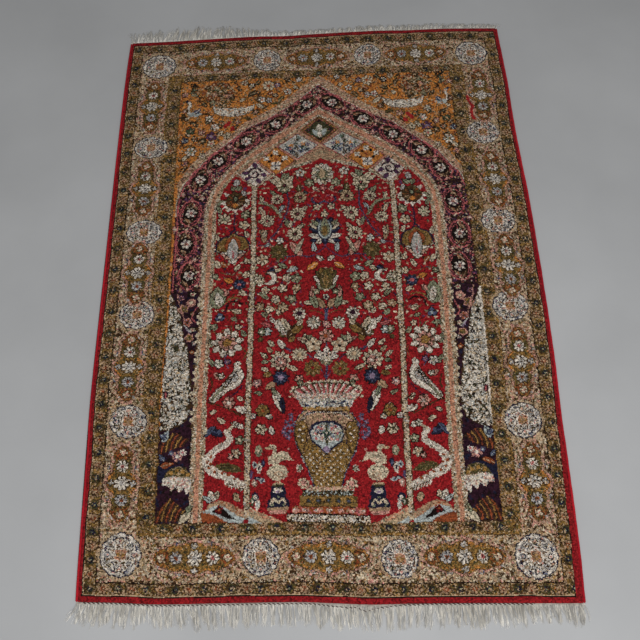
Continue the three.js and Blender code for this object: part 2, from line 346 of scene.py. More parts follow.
# Guard flowers stand about 26 mm apart, dark and brown by turns, on all four sides of both guards.
GUARD_PITCH = 26.4
for step in range(int(PLAN_WIDTH / GUARD_PITCH)):
    along_end = 24 + step * GUARD_PITCH
    guard_flower(along_end, 27.5, step % 2 == 0)
    guard_flower(along_end, 1355.5, step % 2 == 0)
    if 130 < along_end < 810:
        guard_flower(along_end + 4, 139.5, step % 2 == 1)
        guard_flower(along_end + 4, 1251, step % 2 == 1)
for step in range(1, int(1330 / GUARD_PITCH)):
    along_side = 27 + step * GUARD_PITCH
    guard_flower(24, along_side, step % 2 == 0)
    guard_flower(915.5, along_side, step % 2 == 0)
    if 150 < along_side < 1240:
        guard_flower(124, along_side + 3, step % 2 == 1)
        guard_flower(815, along_side + 3, step % 2 == 1)
knots[~FRAME_LINE] = DYE["madder"]
mottle(outer_ground | inner_ground, "gold umber sand tan", 2.2, 26, 0.2)
# A plain gold strip lies between the inner guard and the lower part of the field on each side.
gold_strip = (np.abs(aside - 324) < 6) & (v > 150) & (v < 348)
knots[gold_strip] = DYE["ochre"]
mottle(gold_strip, "gold ochre tan umber", 3.0, 25, 0.5)


def medallion(x, y, wide, high, number):
    """A round white rosette of eight lobes, with a navy outline, set in the main border."""
    drawn = np.random.default_rng(number)
    for dx, dy, spot in border.at(x, y, 52):
        ray, angle = np.hypot(dx / wide, dy / high), np.arctan2(dy / high, dx / wide)
        rim = 0.93 + 0.05 * np.abs(np.cos(6 * angle))
        grain = drawn.random(spot.shape)
        spot[(ray < rim + 0.13) & (grain < 0.6)] = DYE["sand"]
        spot[ray < rim] = DYE["navy"]
        spot[ray < rim - 0.06] = DYE["ivory"]
        spot[(ray < rim - 0.06) & (grain < 0.3)] = DYE["pearl"]
        spot[(ray < 0.77) & (ray > 0.71) & (np.cos(8 * angle) < 0.0)] = DYE["navy"]
        spot[(ray < 0.66) & (ray > 0.44) & (np.abs(np.sin(4 * angle + 1.57)) < 0.18)] = DYE["umber"]
        spot[(ray < 0.42) & (ray > 0.35)] = DYE["umber"]
        spot[(ray < 0.42) & (ray > 0.35) & (np.cos(8 * angle) > 0.2)] = DYE["ivory"]
    for lobe in range(8):
        turn = lobe * math.pi / 4
        at = (x + math.cos(turn) * wide * 0.61, y + math.sin(turn) * high * 0.61)
        border.oval(*at, 6.4, 5.2, "navy", turn)
        border.oval(*at, 4.6, 3.4, ("ivory", "pearl", "cream")[lobe % 3], turn)
        border.oval(*at, 2.4, 2.0, ("pink", "moss", "pink", "umber")[lobe % 4], turn)
        turn += math.pi / 8
        out = (x + math.cos(turn) * wide * 0.80, y + math.sin(turn) * high * 0.80)
        border.oval(*out, 2.0, 3.8, ("slate", "umber", "navy")[lobe % 3], turn)
        border.oval(*out, 0.9, 2.0, ("pearl", "pink")[lobe % 2], turn)
    for _ in range(36):
        turn, ray = drawn.random() * 6.3, 0.36 + 0.5 * drawn.random()
        dye = ("ivory", "pink", "pearl", "navy", "pearl", "tan", "ivory")[int(drawn.random() * 7)]
        border.oval(x + math.cos(turn) * wide * ray, y + math.sin(turn) * high * ray, 2.1, 1.2, dye, turn)
    border.oval(x, y, 13, 13, "ivory")
    border.flower(x, y, 12.5, 4, "salmon", "umber", "tan", core=0.5, turn=0.78)
    border.oval(x, y, 4.2, 8.5, "tan")
    border.oval(x, y, 8.0, 4, "ochre")
    border.oval(x, y, 3.4, 3.4, "tan")
    for dx, dy in ((-6, 6), (6, 6), (-6, -6), (6, -6), (0, -12), (0, 12)):
        border.oval(x + dx, y + dy, 1.8, 1.5, "umber" if dx else "rust")


for number, (x, y, wide, high) in enumerate((
    (79, 90, 41, 43.5), (341, 85, 36, 38), (601, 82, 36, 38), (856, 85, 43, 43),
    (79.5, 357, 39, 38), (79, 600, 38.5, 36), (80, 808, 40.5, 35), (79.5, 1046, 40, 34),
    (861, 348, 39, 39), (861, 602, 39, 37), (861, 814, 39.5, 35), (861, 1057, 39.5, 34),
    (81, 1297, 43, 39), (349, 1300, 36, 36), (601, 1302, 35, 36), (861, 1298, 41, 40),
)):
    medallion(x, y, wide, high, number)


def cartouche(x, y, along_side, dark):
    """A long lobed gold panel with a row of flowers, set in the main border between two medallions."""

    def turned(a, b):
        return (x + b, y + a) if along_side else (x + a, y + b)

    places = (0, 10, 18, 23, 34, 44, 50, 58, 66, 76)
    halves = (38, 36, 31, 27, 31, 29, 24, 21, 19, 5)
    if along_side:
        halves = (29, 27, 20, 15, 19, 15, 17, 19, 13, 5)
    for dx, dy, spot in border.at(x, y, 84):
        a, b = (np.abs(dy), np.abs(dx)) if along_side else (np.abs(dx), np.abs(dy) / 0.78)
        half = np.interp(a, places, halves)
        grain = np.random.default_rng(int(x + y)).random(spot.shape)
        coarse = np.sin(dx * 0.42 + x) * np.sin(dy * 0.42 + y)
        rim = (b < half + 7) & (a < 83)
        spot[(b < half + 8.8) & (a < 83) & (grain < 0.8)] = DYE["umber"]
        spot[rim & (grain < 0.75)] = DYE["tan"]
        spot[rim & (grain < 0.35)] = DYE["pink"]
        spot[(b < half + 1.6) & (a < 77.2) & (grain < 0.85)] = DYE["umber"]
        panel = (b < half) & (a < 76)
        spot[panel] = DYE["gold"]
        # Where dark, the grains stay plain gold with no lighter ochre: painted shade for the cartouches of
        # the far half.
        spot[panel & (grain < 0.5) & (coarse > -0.2)] = DYE["gold" if dark else "ochre"]
        spot[panel & (grain > 0.7) & (coarse < 0.1)] = DYE["olive"]
        spot[panel & (grain > 0.86)] = DYE["umber"]
        spot[panel & (a > 48) & (grain < 0.45)] = DYE["rust"]
        if along_side:
            spot[panel & (a < 30) & (b > half - 5) & (grain < 0.6)] = DYE["orange"]
            spot[panel & (a > 21) & (a < 46) & (grain < 0.5)] = DYE["olive"]
            spot[panel & (a > 21) & (a < 46) & (grain > 0.8)] = DYE["moss"]
        else:
            spot[panel & (np.abs(b - half + 4) < 2.4) & (grain < 0.35)] = DYE["orange"]
    for a, r, petal, gap, heart in (
        (0, 14.5, "ivory", "black", "pearl"), (34, 12, "ivory", "black", "rose"),
        (-34, 12, "pearl", "navy", "rust"), (62, 7.5, "cream", "rust", "pink"),
        (-62, 7.5, "cream", "rust", "pink"),
    ):
        border.flower(*turned(a, 0), r, 8 if r > 9 else 4, petal, gap, heart, core=0.3, rim="umber")
        if r > 9:
            border.oval(*turned(a, 0), 2.2, 1.6, "umber")
    for side in (1, -1):
        bud = turned(0, (21 if along_side else 23) * side)
        border.flower(*bud, 6, 4, "pearl", "umber", "cream", core=0.3, rim="umber")
        border.oval(*turned(48 * side, 0), 2.0, 2.0, "navy")
        for out in (1, -1):
            for a, b, dye in (
                (28, 30, "pearl"), (36, 33, "pink"), (33, 27, "slate"), (42, 29, "cream"),
                (17, 12, "moss"), (49, 10, "umber"), (52, 16, "moss"), (12, 31, "pink"), (58, 24, "cream"),
                (68, 16, "pearl")
            ):
                border.oval(*turned(a * out, b * side * (0.92 if along_side else 1)), 2.8, 1.7, dye, a)


# The cartouches of the far half are drawn dark: painted shade, darker towards the far end.
for x, y in ((217, 85), (467.6, 85), (722, 85)):
    cartouche(x, y, False, False)
for x, y in ((222, 1302), (473, 1302), (722, 1302)):
    cartouche(x, y, False, True)
for y, dark in ((229, False), (478, False), (704, True), (928, True), (1170, True)):
    cartouche(73, y, True, dark)
    cartouche(869, y - 3, True, dark)
mottle(main_ground, "umber sand olive tan", 2.2, 28, 0.1)

# The field: a flat niche. Two navy side panels with cypresses stand under a pointed arch, a salmon band
# follows it inside, and thin white columns part the red side panels from the red middle.
OUTER_BAND = (
    (934, 332), (949, 328), (972, 315), (1000, 298), (1016, 284), (1058, 233.6), (1085, 203),
    (1113, 174.6), (1125, 149), (1142, 124), (1160, 98), (1182, 72.6), (1205, 46.6), (1228, 21), (1243, 0),
)
NAVY_BAND = (
    (880, 330), (900, 328), (920, 323), (940, 318), (962, 300), (980, 288), (1001, 274), (1035, 240),
    (1063, 208), (1092, 175), (1105, 150), (1119, 124), (1137, 98), (1155, 72.6), (1175, 46.6), (1198, 21),
    (1217, 0), (1300, -60),
)
SALMON_OUT = ((850, 260.5), (877, 257), (900, 253.5), (920, 246), (939, 235), (960, 222), (979.5, 206),
              (1001, 184.7), (1031, 150.5), (1072, 98), (1107, 46.6), (1141, 0), (1300, -200))
SALMON_IN = ((850, 242.5), (877, 239), (900, 235.5), (920, 227.5), (939, 216), (960, 199.5), (979.5, 184),
             (1000, 163.5), (1008, 151), (1047, 98), (1087, 46.6), (1121, 0), (1300, -200))
RED_TOP = (
    (0, 995), (10, 990), (30, 982), (50, 975), (76, 967), (101, 957), (125, 940), (140, 926), (152, 920),
    (162, 920), (194.5, 959), (240, 1012)
)
inside_field = FIELD & (v > 150) & (q < 1249)
low_half = q < 934
outer_edge = np.where(low_half, 329.0, table(OUTER_BAND, q))
navy_edge = table(NAVY_BAND, q)
salmon_out, salmon_in = table(SALMON_OUT, q) + 1, table(SALMON_IN, q) + 1


def ground(where, dye, grains=None, pitch=2.4, seed=0, share=0.5):
    """Ground in the field, plain or with grains of other dyes over a share of it."""
    knots[where & inside_field] = DYE[dye]
    if grains:
        mottle(where & inside_field, grains, pitch, seed, share)


ground(aside >= 0, "orange")
mottle(inside_field, "orange ochre rust orange orange tan", 3.4, 31, 0.45)
ground(aside < outer_edge, "tan", "salmon pink sand tan umber cream", 2.6, 32, 0.7)
ground(aside < navy_edge, "aubergine", "aubergine navy aubergine black", 5.0, 33, 0.35)
ground((aside < navy_edge) & (aside > navy_edge - 3.2) & (q > 850), "ivory")
ground((aside < navy_edge - 1.6) & (aside > navy_edge - 3.2) & (q > 850), "moss")
for edge in (salmon_out, salmon_in):
    band = np.abs(aside - edge) < 4.6
    ground(band, "tan", "ivory sand cream umber tan sage", 1.9, 34, 0.8)
inner_band = (aside < salmon_out - 4.6) & (aside > salmon_in + 4.6)
ground(inner_band, "salmon", "pink salmon tan rust salmon", 2.2, 35, 0.45)
under = aside < salmon_in - 4.6
ground(under, "madder", "madder scarlet deep_madder madder", 2.6, 36, 0.3)

# Above the columns the niche's head is a lattice of diamonds; the red middle ends in a low arch below it.
head = under & (q > table(RED_TOP, aside))
ground(head, "cream", "cream sage umber sand moss ivory", 2.5, 37, 0.75)
lattice = head & (q > table(RED_TOP, aside) + 9)
ground(lattice, "tan", "salmon sand pink tan olive", 2.3, 38, 0.6)


def diamond(p0, q0, wide, high, dye, seed, grains):
    """A panel of the lattice: rose outline, thin umber line, and a ground with grains of other dyes."""
    for x, y, spot in field.at(p0, q0, max(wide, high)):
        drawn = np.random.default_rng(seed).random((2,) + spot.shape)
        size = np.abs(x) / wide + np.abs(y) / high
        spot[size < 1.0] = DYE["rose"]
        spot[size < 0.965] = DYE["umber"]
        spot[size < 0.93] = DYE[dye]
        strew(spot, (size < 0.93) & (drawn[0] < 0.4), grains, drawn[1])


clipped = knots.copy()
centre_paper = Paper(p, q, knots, middle=FIELD_MIDDLE)
diamond(104, 994, 45, 41, "orange", 41, "ochre orange rust")
diamond(53, 1034, 50, 37, "pearl", 42, "ivory mist cream")
diamond(0, 1003, 48, 25, "tan", 43, "sand sage salmon")
diamond(154, 957, 38, 38, "ivory", 44, "pearl pink pearl")
diamond(0, 1078, 47, 42, "gold", 45, "ochre rust umber")
diamond(0, 1078, 38, 33, "moss", 46, "olive umber green")
for start, end, width, dye in (((0, 1058), (0, 1094), 17, "ivory"), ((-2, 1060), (17, 1080), 13, "mist"),
                               ((2, 1060), (-17, 1080), 13, "mist"), ((0, 1056), (0, 1078), 9, "ivory")):
    centre_paper.leaf(start, end, width, dye, edge="sage")
for px, qy, dye in ((25, 1078, "violet"), (0, 1103, "aubergine"), (0, 1050, "umber")):
    field.oval(px, qy, 4, 4, "black")
    field.oval(px, qy, 2, 2, dye)
field.flower(106, 979, 14, 4, "ivory", "umber", "ivory", core=0.4, turn=0.78)
field.line([(106, 969), (106, 989)], 2.2, "navy")
field.line([(98, 979), (114, 979)], 2.2, "slate")
for px, qy in ((96, 1009), (116, 1009), (91, 992), (121, 992)):
    field.oval(px, qy, 3.4, 4.4, "black")
for px, qy in ((106, 1017), (84, 1001), (128, 1001)):
    field.flower(px, qy, 8, 4, "ivory", "umber", "ivory", core=0.3, turn=0.78)
field.oval(106, 1000, 4, 5, "rust")
field.line([(54, 1002), (53, 1024), (56, 1040), (53, 1064)], 3.0, "umber")
for px, qy, r, dye in (
    (76, 1027, 8, "slate"), (66, 1018, 7, "navy"), (32, 1024, 7.5, "navy"), (40, 1032, 7, "green"),
    (58, 1042, 6, "moss"), (50, 1058, 5, "green"), (45, 1020, 7, "slate"), (56, 1012, 6, "umber"),
    (68, 1037, 6, "orange"), (40, 1040, 6, "orange"), (30, 1038, 5.5, "violet"), (54, 1050, 5, "umber"),
    (60, 1028, 5, "navy"), (48, 1034, 5, "slate"), (80, 1036, 4, "green"), (70, 1026, 3, "rose"),
):
    field.flower(px, qy, r, 4, dye, "mist", "black" if r > 6 else dye, core=0.3, turn=px)
spiral = []
for step in range(15):
    turn, reach = step * 0.62 + 0.4, 3.5 + step * 1.05
    spiral.append((155 + math.cos(turn) * reach, 958 + math.sin(turn) * reach))
field.line(spiral, 4.4, "aubergine")
for start, end, width in (
    ((150, 976), (158, 990), 9), ((168, 962), (182, 962), 8), ((140, 958), (128, 950), 8),
    ((150, 944), (142, 930), 8), ((166, 950), (176, 942), 7)
):
    field.leaf(start, end, width, "violet", "aubergine", edge="aubergine")
outside_head = ~(head & inside_field)
knots[outside_head] = clipped[outside_head]

# Two slim white columns carry the low arch.
column = (np.abs(aside - 156.5) < 6.0) & (q > 155) & (q < 926)
ground(column, "cream", "sand cream umber pearl tan cream", 2.2, 39, 0.8)
ground((np.abs(aside - 156.5) > 5.0) & (np.abs(aside - 156.5) < 6.6) & (q > 155) & (q < 926), "umber")


# The navy panels: a rose-coloured vine loops round dark roundels up each side and over the arch to its
# point, each loop with a white flower in it and brown leaves between one loop and the next.
vine_band = inside_field & (aside < navy_edge - 4) & (aside > salmon_out + 5) & (q > 655)
mottle(vine_band, "aubergine umber aubergine violet rose black umber tan", 4.0, 46, 0.7)
LOOPS = (
    (180, 856, 1.5), (173, 775, 1.6), (183, 694, 1.5), (198, 949, 1.2), (237, 999, 0.8), (301, 1051, 0.65),
    (371, 1100, 0.6), (445, 1154, 0.6), (506, 1157, -0.6), (579, 1105, -0.6), (648, 1056, -0.65),
    (711, 1010, -0.8), (749, 957, -1.2), (767, 865, -1.5), (773, 780, -1.6), (764, 699, -1.5),
)
for x, y, lean in LOOPS:
    c, s = math.cos(lean), math.sin(lean)
    border.oval(x, y, 36, 25, "rose", lean)
    border.oval(x, y, 32.8, 21.8, "aubergine", lean)
    border.oval(x, y, 28, 20.0, "rose", lean)
    border.oval(x, y, 26.4, 18.4, "black", lean)
    for side in (1, -1):
        tip = (x + c * 10 * side - s * 13, y + s * 10 * side + c * 13)
        border.leaf((x + c * 31 * side, y + s * 31 * side), tip, 10, "umber", "tan")
        tip = (x + s * 15 * side, y - c * 15 * side)
        border.leaf((x + c * 27 * side, y + s * 27 * side), tip, 8, "tan", "rust")
        border.oval(x + c * 33 * side, y + s * 33 * side, 4, 3, "pink", lean)
    border.oval(x, y, 17, 16, "black", lean)
    border.flower(x, y, 12, 6, "ivory", "violet", "pink", core=0.34, turn=x)
    border.oval(x, y, 2.0, 2.0, "umber")
mottle(vine_band, "aubergine umber rose black cream", 2.4, 47, 0.16)
for x, y in (
    (194, 734), (148, 815), (204, 895), (391, 1135), (350, 1057), (556, 1139), (598, 1063), (798, 822),
    (741, 904), (475, 1195), (160, 735), (160, 910), (218, 970), (268, 1020), (262, 1040), (330, 1088),
    (408, 1112), (541, 1112), (612, 1098), (672, 1052), (738, 978), (786, 905), (750, 820), (786, 738),
    (754, 742), (205, 812),
):
    border.flower(x, y, 7.0, 5, "pink", "violet", "cream", core=0.35, rim="black", turn=y)
ground((np.abs(aside - salmon_out - 6.5) < 1.5) & (q > 655), "pink")
ground((np.abs(aside - navy_edge + 4.6) < 1.4) & (q > 655), "rose")
mottle(vine_band & (np.abs(aside - salmon_out - 6.5) < 1.6), "aubergine umber", 3.5, 48, 0.4)

# The middle of the niche: a gold vase on a stepped foot, a pair of ducks and two small jars beside it.
def tier(low, high, half, dye, grains=None, share=0.5, pitch=2.4, seed=50):
    """A level strip across the middle of the niche, between two heights and as wide as twice its half."""
    where = (aside < half) & (q > low) & (q < high)
    ground(where, dye, grains, pitch, seed, share)


tier(148, 163, 79, "cream", "ivory umber pearl black ivory", 0.8)
tier(163, 165.2, 79, "black")
tier(165.2, 179, 70, "rust", "rust rose rust tan", 0.5, 4.0)
for px in (0, 22, 44, 63):
    field.oval(px, 171, 6.5, 4, "pink")
    field.oval(px + 3, 172.5, 3.4, 2, "ivory")
tier(178.4, 180, 58, "umber")
tier(180, 200, 56, "gold", "gold ochre umber", 0.4)
for px in (0, 19, 38):
    field.flower(px, 190, 5.6, 6, "moss", "umber", "slate", core=0.4)
tier(200, 210, 50, "umber", "sage black mist moss", 0.7)
tier(210, 217, 43, "tan", "pink cream sand", 0.7)
BODY = (
    (217, 27), (228, 29), (245, 34), (269, 46), (292, 56), (316, 62), (335, 64), (350, 62), (362, 55),
    (373, 44)
)
body_half = table(BODY, q)
body = (q > 217) & (q < 374)
ground(body & (aside < body_half + 2.2), "navy", "slate navy mist", 2.6, 51, 0.6)
ground(body & (aside < body_half - 1.2), "gold", "ochre gold umber gold", 2.6, 52, 0.5)
lattice_x, lattice_y = np.abs((p / 13.5 + q / 13.5) % 1 - 0.5), np.abs((p / 13.5 - q / 13.5) % 1 - 0.5)
ground(body & (aside < body_half - 6) & (q < 296) & (lattice_x < 0.17) & (lattice_y < 0.17), "ivory")
shoulder = body & (aside < body_half - 4) & (q > 312 + np.abs(aside - 38) * 0.2) & (q < 373)
ground(shoulder, "tan", "sand pink tan umber sand", 2.4, 53, 0.6)
for route in (
    [(0, 352), (18, 349), (31, 340), (40, 322), (38, 303)],
    [(0, 373), (24, 371.5), (40, 366), (50, 357), (58, 345)]
):
    field.line(route, 2.0, "navy")
field.line([(0, 370.5), (24, 369), (39, 363.5), (48, 354)], 2.4, "ivory", dots="navy")
HANDLE = [
    (62, 340), (56, 350), (46, 352), (39, 344), (37, 332), (40, 315), (44, 300), (47, 286), (52, 286),
    (56, 298), (61, 312), (63, 328)
]
field.shape(HANDLE, "gold")
field.line(HANDLE + HANDLE[:1], 2.4, "umber")
mottle(
    inside_field & (np.hypot((aside - 50) / 12, (q - 325) / 24) < 1) & (knots == DYE["gold"]),
    "ochre umber gold", 2.6, 58, 0.5
)
for px, qy in ((46, 340), (54, 333), (47, 325), (54, 318), (48, 311)):
    field.oval(px, qy, 2.4, 2.2, "ivory")
    field.oval(px + 2.6, qy - 2, 1.6, 1.5, "umber")
field.shape([
    (0, 282), (14, 296), (31, 308), (36, 326), (28, 344), (12, 351), (0, 352)
], "navy")
centre_paper.shape([
    (0, 282), (14, 297), (30, 309), (34.5, 326), (27, 342), (12, 349), (-12, 349), (-27, 342),
    (-34.5, 326), (-30, 309), (-14, 297)
], "navy")
centre_paper.shape([
    (0, 285), (12, 299), (28, 310), (32.5, 326), (25.5, 340.5), (12, 347), (-12, 347), (-25.5, 340.5),
    (-32.5, 326), (-28, 310), (-12, 299)
], "mist")
ivory_disc = (np.hypot(p / 31, (q - 327) / 20) < 1)
mottle(inside_field & ivory_disc, "ivory sage ivory slate", 2.4, 54, 0.7)
for px, qy in ((10, 336), (21, 326), (10, 315), (17, 340), (22, 314)):
    field.oval(px, qy, 3.4, 3, "rose")
    field.oval(px, qy, 1.4, 1.3, "cream")
centre_paper.line([(0, 300), (0, 347)], 3.4, "moss")
centre_paper.line([(-18, 326), (18, 326)], 2.4, "navy")
centre_paper.flower(0, 326, 7, 4, "green", "navy", "ivory", core=0.3)
centre_paper.oval(0, 293, 7, 6, "lilac")
tier(372, 374, 46, "umber")
tier(374, 381.5, 47, "ochre", "sand ochre gold", 0.6)
bowl_half = 50 + (q - 381.5) * 0.42
ground((q > 381.5) & (q < 399) & (aside < bowl_half), "ivory", "ivory mist pearl sage", 2.5, 55, 0.6)
mottle(
    inside_field & (q > 382) & (q < 394) & (aside < bowl_half - 2), "navy slate ivory mist", 2.6, 59, 0.62
)
rim_half = 60 + (q - 399) * 0.7
ground((q > 399) & (q < 412) & (aside < rim_half), "pink", "ivory pink cream pearl", 2.4, 56, 0.9)
fan_top = 440 - 22 * (np.clip(aside, 0, 74) / 74) ** 2.2
fan = (q > 411) & (q < fan_top) & (aside < 70)
ray_number = np.arctan2(p, q - 372) * 34
ground(fan, "gold")
ground(fan & (np.sin(ray_number) > 0.25), "rose")
ground(fan & (np.sin(ray_number + 2.2) > 0.6), "ivory")
ground(fan & (np.sin(ray_number + 4.0) > 0.7), "umber")
ground((q > fan_top - 4) & (q < fan_top + 1.5) & (aside < 70) & (np.sin(ray_number) > -0.2), "cream")
ground((q > fan_top - 6) & (q < fan_top - 4) & (aside < 70), "moss")
for px, qy in ((70, 416), (66, 424), (72, 404)):
    field.oval(px, qy, 3.6, 2.6, "cream", 0.8)
    field.oval(px - 5, qy + 2, 2, 2, "moss")

# Blue flower sprays stand at the vase's shoulders.
for px, qy in (
    (70, 356), (79, 350), (64, 345), (74, 342), (82, 338), (72, 330), (80, 324), (74, 318), (84, 330),
    (70, 364)
):
    field.flower(px, qy, 5.2, 4, "slate", "madder", "lilac", core=0.35, turn=px)
    field.oval(px + 3, qy - 3, 1.7, 1.4, "navy")

# Ducks face outwards, and small jars stand below them.
field.oval(97, 247, 20, 16.5, "cream")
field.oval(94, 243, 10, 6, "tan", 0.3)
field.oval(94, 243, 7, 4, "cream", 0.3)
field.shape([
    (64, 268), (72, 276), (78, 288), (92, 288), (106, 284), (116, 279), (115, 264), (98, 262), (88, 272),
    (76, 272)
], "cream")
field.line([(106, 281), (103, 290), (105, 298)], 7, "cream")
field.oval(107, 298, 7.5, 5.5, "cream")
field.shape([(110, 301), (122, 297), (120, 292), (110, 294)], "sand")
field.oval(107, 299, 1.7, 1.7, "black")
field.line([(82, 276), (92, 281), (104, 279)], 1.8, "sage")
field.line([(88, 255), (98, 259), (110, 254)], 1.8, "sage")
field.line([(96, 232), (92, 226)], 2, "sand")
field.shape([
    (80, 205), (82, 196), (76, 190), (75, 178), (118, 178), (117, 190), (111, 196), (112, 205), (108, 221),
    (84, 221)
], "navy")
field.shape([(84, 221), (88, 226), (97, 228), (106, 226), (109, 221)], "sand")
field.oval(97, 221, 12, 2.4, "moss")
field.oval(97, 211, 8.5, 5.6, "ivory")
field.oval(97, 209, 4, 3, "lilac")
field.line([(82, 185), (89, 194), (97, 186), (105, 194), (112, 185)], 4.2, "cream")
field.oval(97, 198, 2.6, 2.2, "sage")
field.oval(86, 182, 3, 2, "sage")
field.oval(108, 182, 3, 2, "sage")
field.shape([(76, 178), (118, 178), (116, 172), (78, 172)], "tan")
field.shape([(82, 172), (78, 168), (86, 165), (108, 165), (116, 168), (112, 172)], "pink")
for px, qy, r in ((47, 224, 12), (38, 216, 7)):
    field.flower(px, qy, r, 6, "cream", "umber", "pink", core=0.5)
field.flower(55, 254, 7.5, 5, "ivory", "umber", "sage", core=0.35)
field.oval(76, 294, 3, 2.2, "pink")
for px, qy, wide, high, dye, heart in (
    (134, 290, 7, 11, "sage", "cream"), (133, 256, 5, 11, "ivory", "navy"),
    (142, 262, 5, 7, "mist", "navy"), (125, 266, 4, 9, "navy", "slate"), (142, 226, 6, 8, "pink", "ivory"),
    (136, 235, 7, 4, "navy", "mist"), (140, 198, 8, 9, "navy", "ivory"),
    (136, 184, 5, 10, "ivory", "mist"), (146, 190, 4, 8, "green", "ivory"),
    (148, 242, 3, 9, "violet", "slate"), (127, 232, 6, 4, "mist", "slate"),
):
    field.oval(px, qy, wide, high, dye)
    field.oval(px, qy, wide * 0.45, high * 0.5, heart)
# Low hills run from the foot of each column to the lower edge.
field.shape([(152, 180), (152, 148), (84, 148), (108, 160), (130, 168)], "salmon")
field.shape([(152, 172), (152, 148), (100, 148), (126, 158)], "sand")
field.shape([(152, 162), (152, 148), (128, 148)], "mist")

# A bouquet rises from the vase and fills the red above it, the same on the left as on the right.
for route, width, dye in (
    ([(0, 440), (1, 470), (0, 500), (0, 560)], 3.2, "navy"),
    ([(2, 446), (14, 470), (34, 496), (50, 500)], 2.0, "navy"),
    ([(30, 492), (44, 500), (60, 506), (80, 512), (96, 520)], 2.4, "navy"),
    ([(4, 590), (22, 598), (36, 600)], 1.8, "olive"),
    ([(0, 560), (2, 600)], 3.4, "slate"),
    ([(0, 596), (8, 610), (12, 604)], 4.5, "navy"),
    ([(40, 440), (60, 452), (78, 470)], 1.6, "olive"),
    ([(78, 470), (86, 440), (104, 424)], 1.6, "olive"),
    ([(40, 590), (30, 574)], 1.6, "rose"),
    ([(73, 506), (84, 516), (92, 528)], 3.2, "navy"),
    ([(82, 730), (96, 716), (98, 706)], 2.4, "slate"),
    ([(26, 734), (40, 732), (56, 736), (82, 733)], 3.0, "navy"),
    ([(26, 734), (14, 744), (0, 757), (-2, 764)], 2.6, "violet"),
    ([(82, 733), (100, 740), (120, 758), (136, 764), (150, 760)], 2.8, "navy"),
    ([(120, 780), (106, 799), (89, 836), (79, 868), (82, 905)], 3.4, "navy"),
    ([(120, 780), (108, 776), (98, 786)], 3.0, "navy"),
    ([(89, 836), (84, 820), (70, 806)], 1.8, "slate"),
    ([(116, 786), (124, 774), (128, 764)], 2.2, "navy"),
    ([(145, 877), (132, 874), (116, 868), (104, 854), (97, 838)], 6.6, "sage"),
    ([(141, 873), (129, 870), (117, 863), (108, 851), (104, 840)], 2.0, "umber"),
    ([(0, 918), (14, 907), (25, 900), (36, 898)], 2.4, "pink"),
    ([(-26, 878), (-14, 869), (0, 877)], 4.6, "navy"),
    ([(0, 877), (14, 869), (26, 878), (24, 886)], 4.6, "navy"),
    ([(4, 884), (10, 893), (18, 888), (16, 880), (10, 878)], 1.7, "rose"),
    ([(62, 905), (50, 925), (60, 945)], 1.6, "olive"),
    ([(30, 930), (40, 946), (46, 954)], 1.6, "olive"),
    ([(88, 548), (70, 545), (52, 548)], 2.0, "rust"),
    ([(84, 600), (72, 620), (64, 644), (62, 672)], 1.3, "olive"),
    ([(110, 600), (96, 628), (90, 655), (86, 680)], 1.3, "olive"),
    ([(131, 604), (134, 630), (124, 650), (118, 668)], 1.3, "olive"),
    ([(104, 884), (120, 862), (126, 842)], 1.3, "olive"),
    ([(26, 710), (20, 722), (10, 728)], 1.4, "rose"),
):
    field.line(route, width, dye, dots={"navy": "slate"}.get(dye))
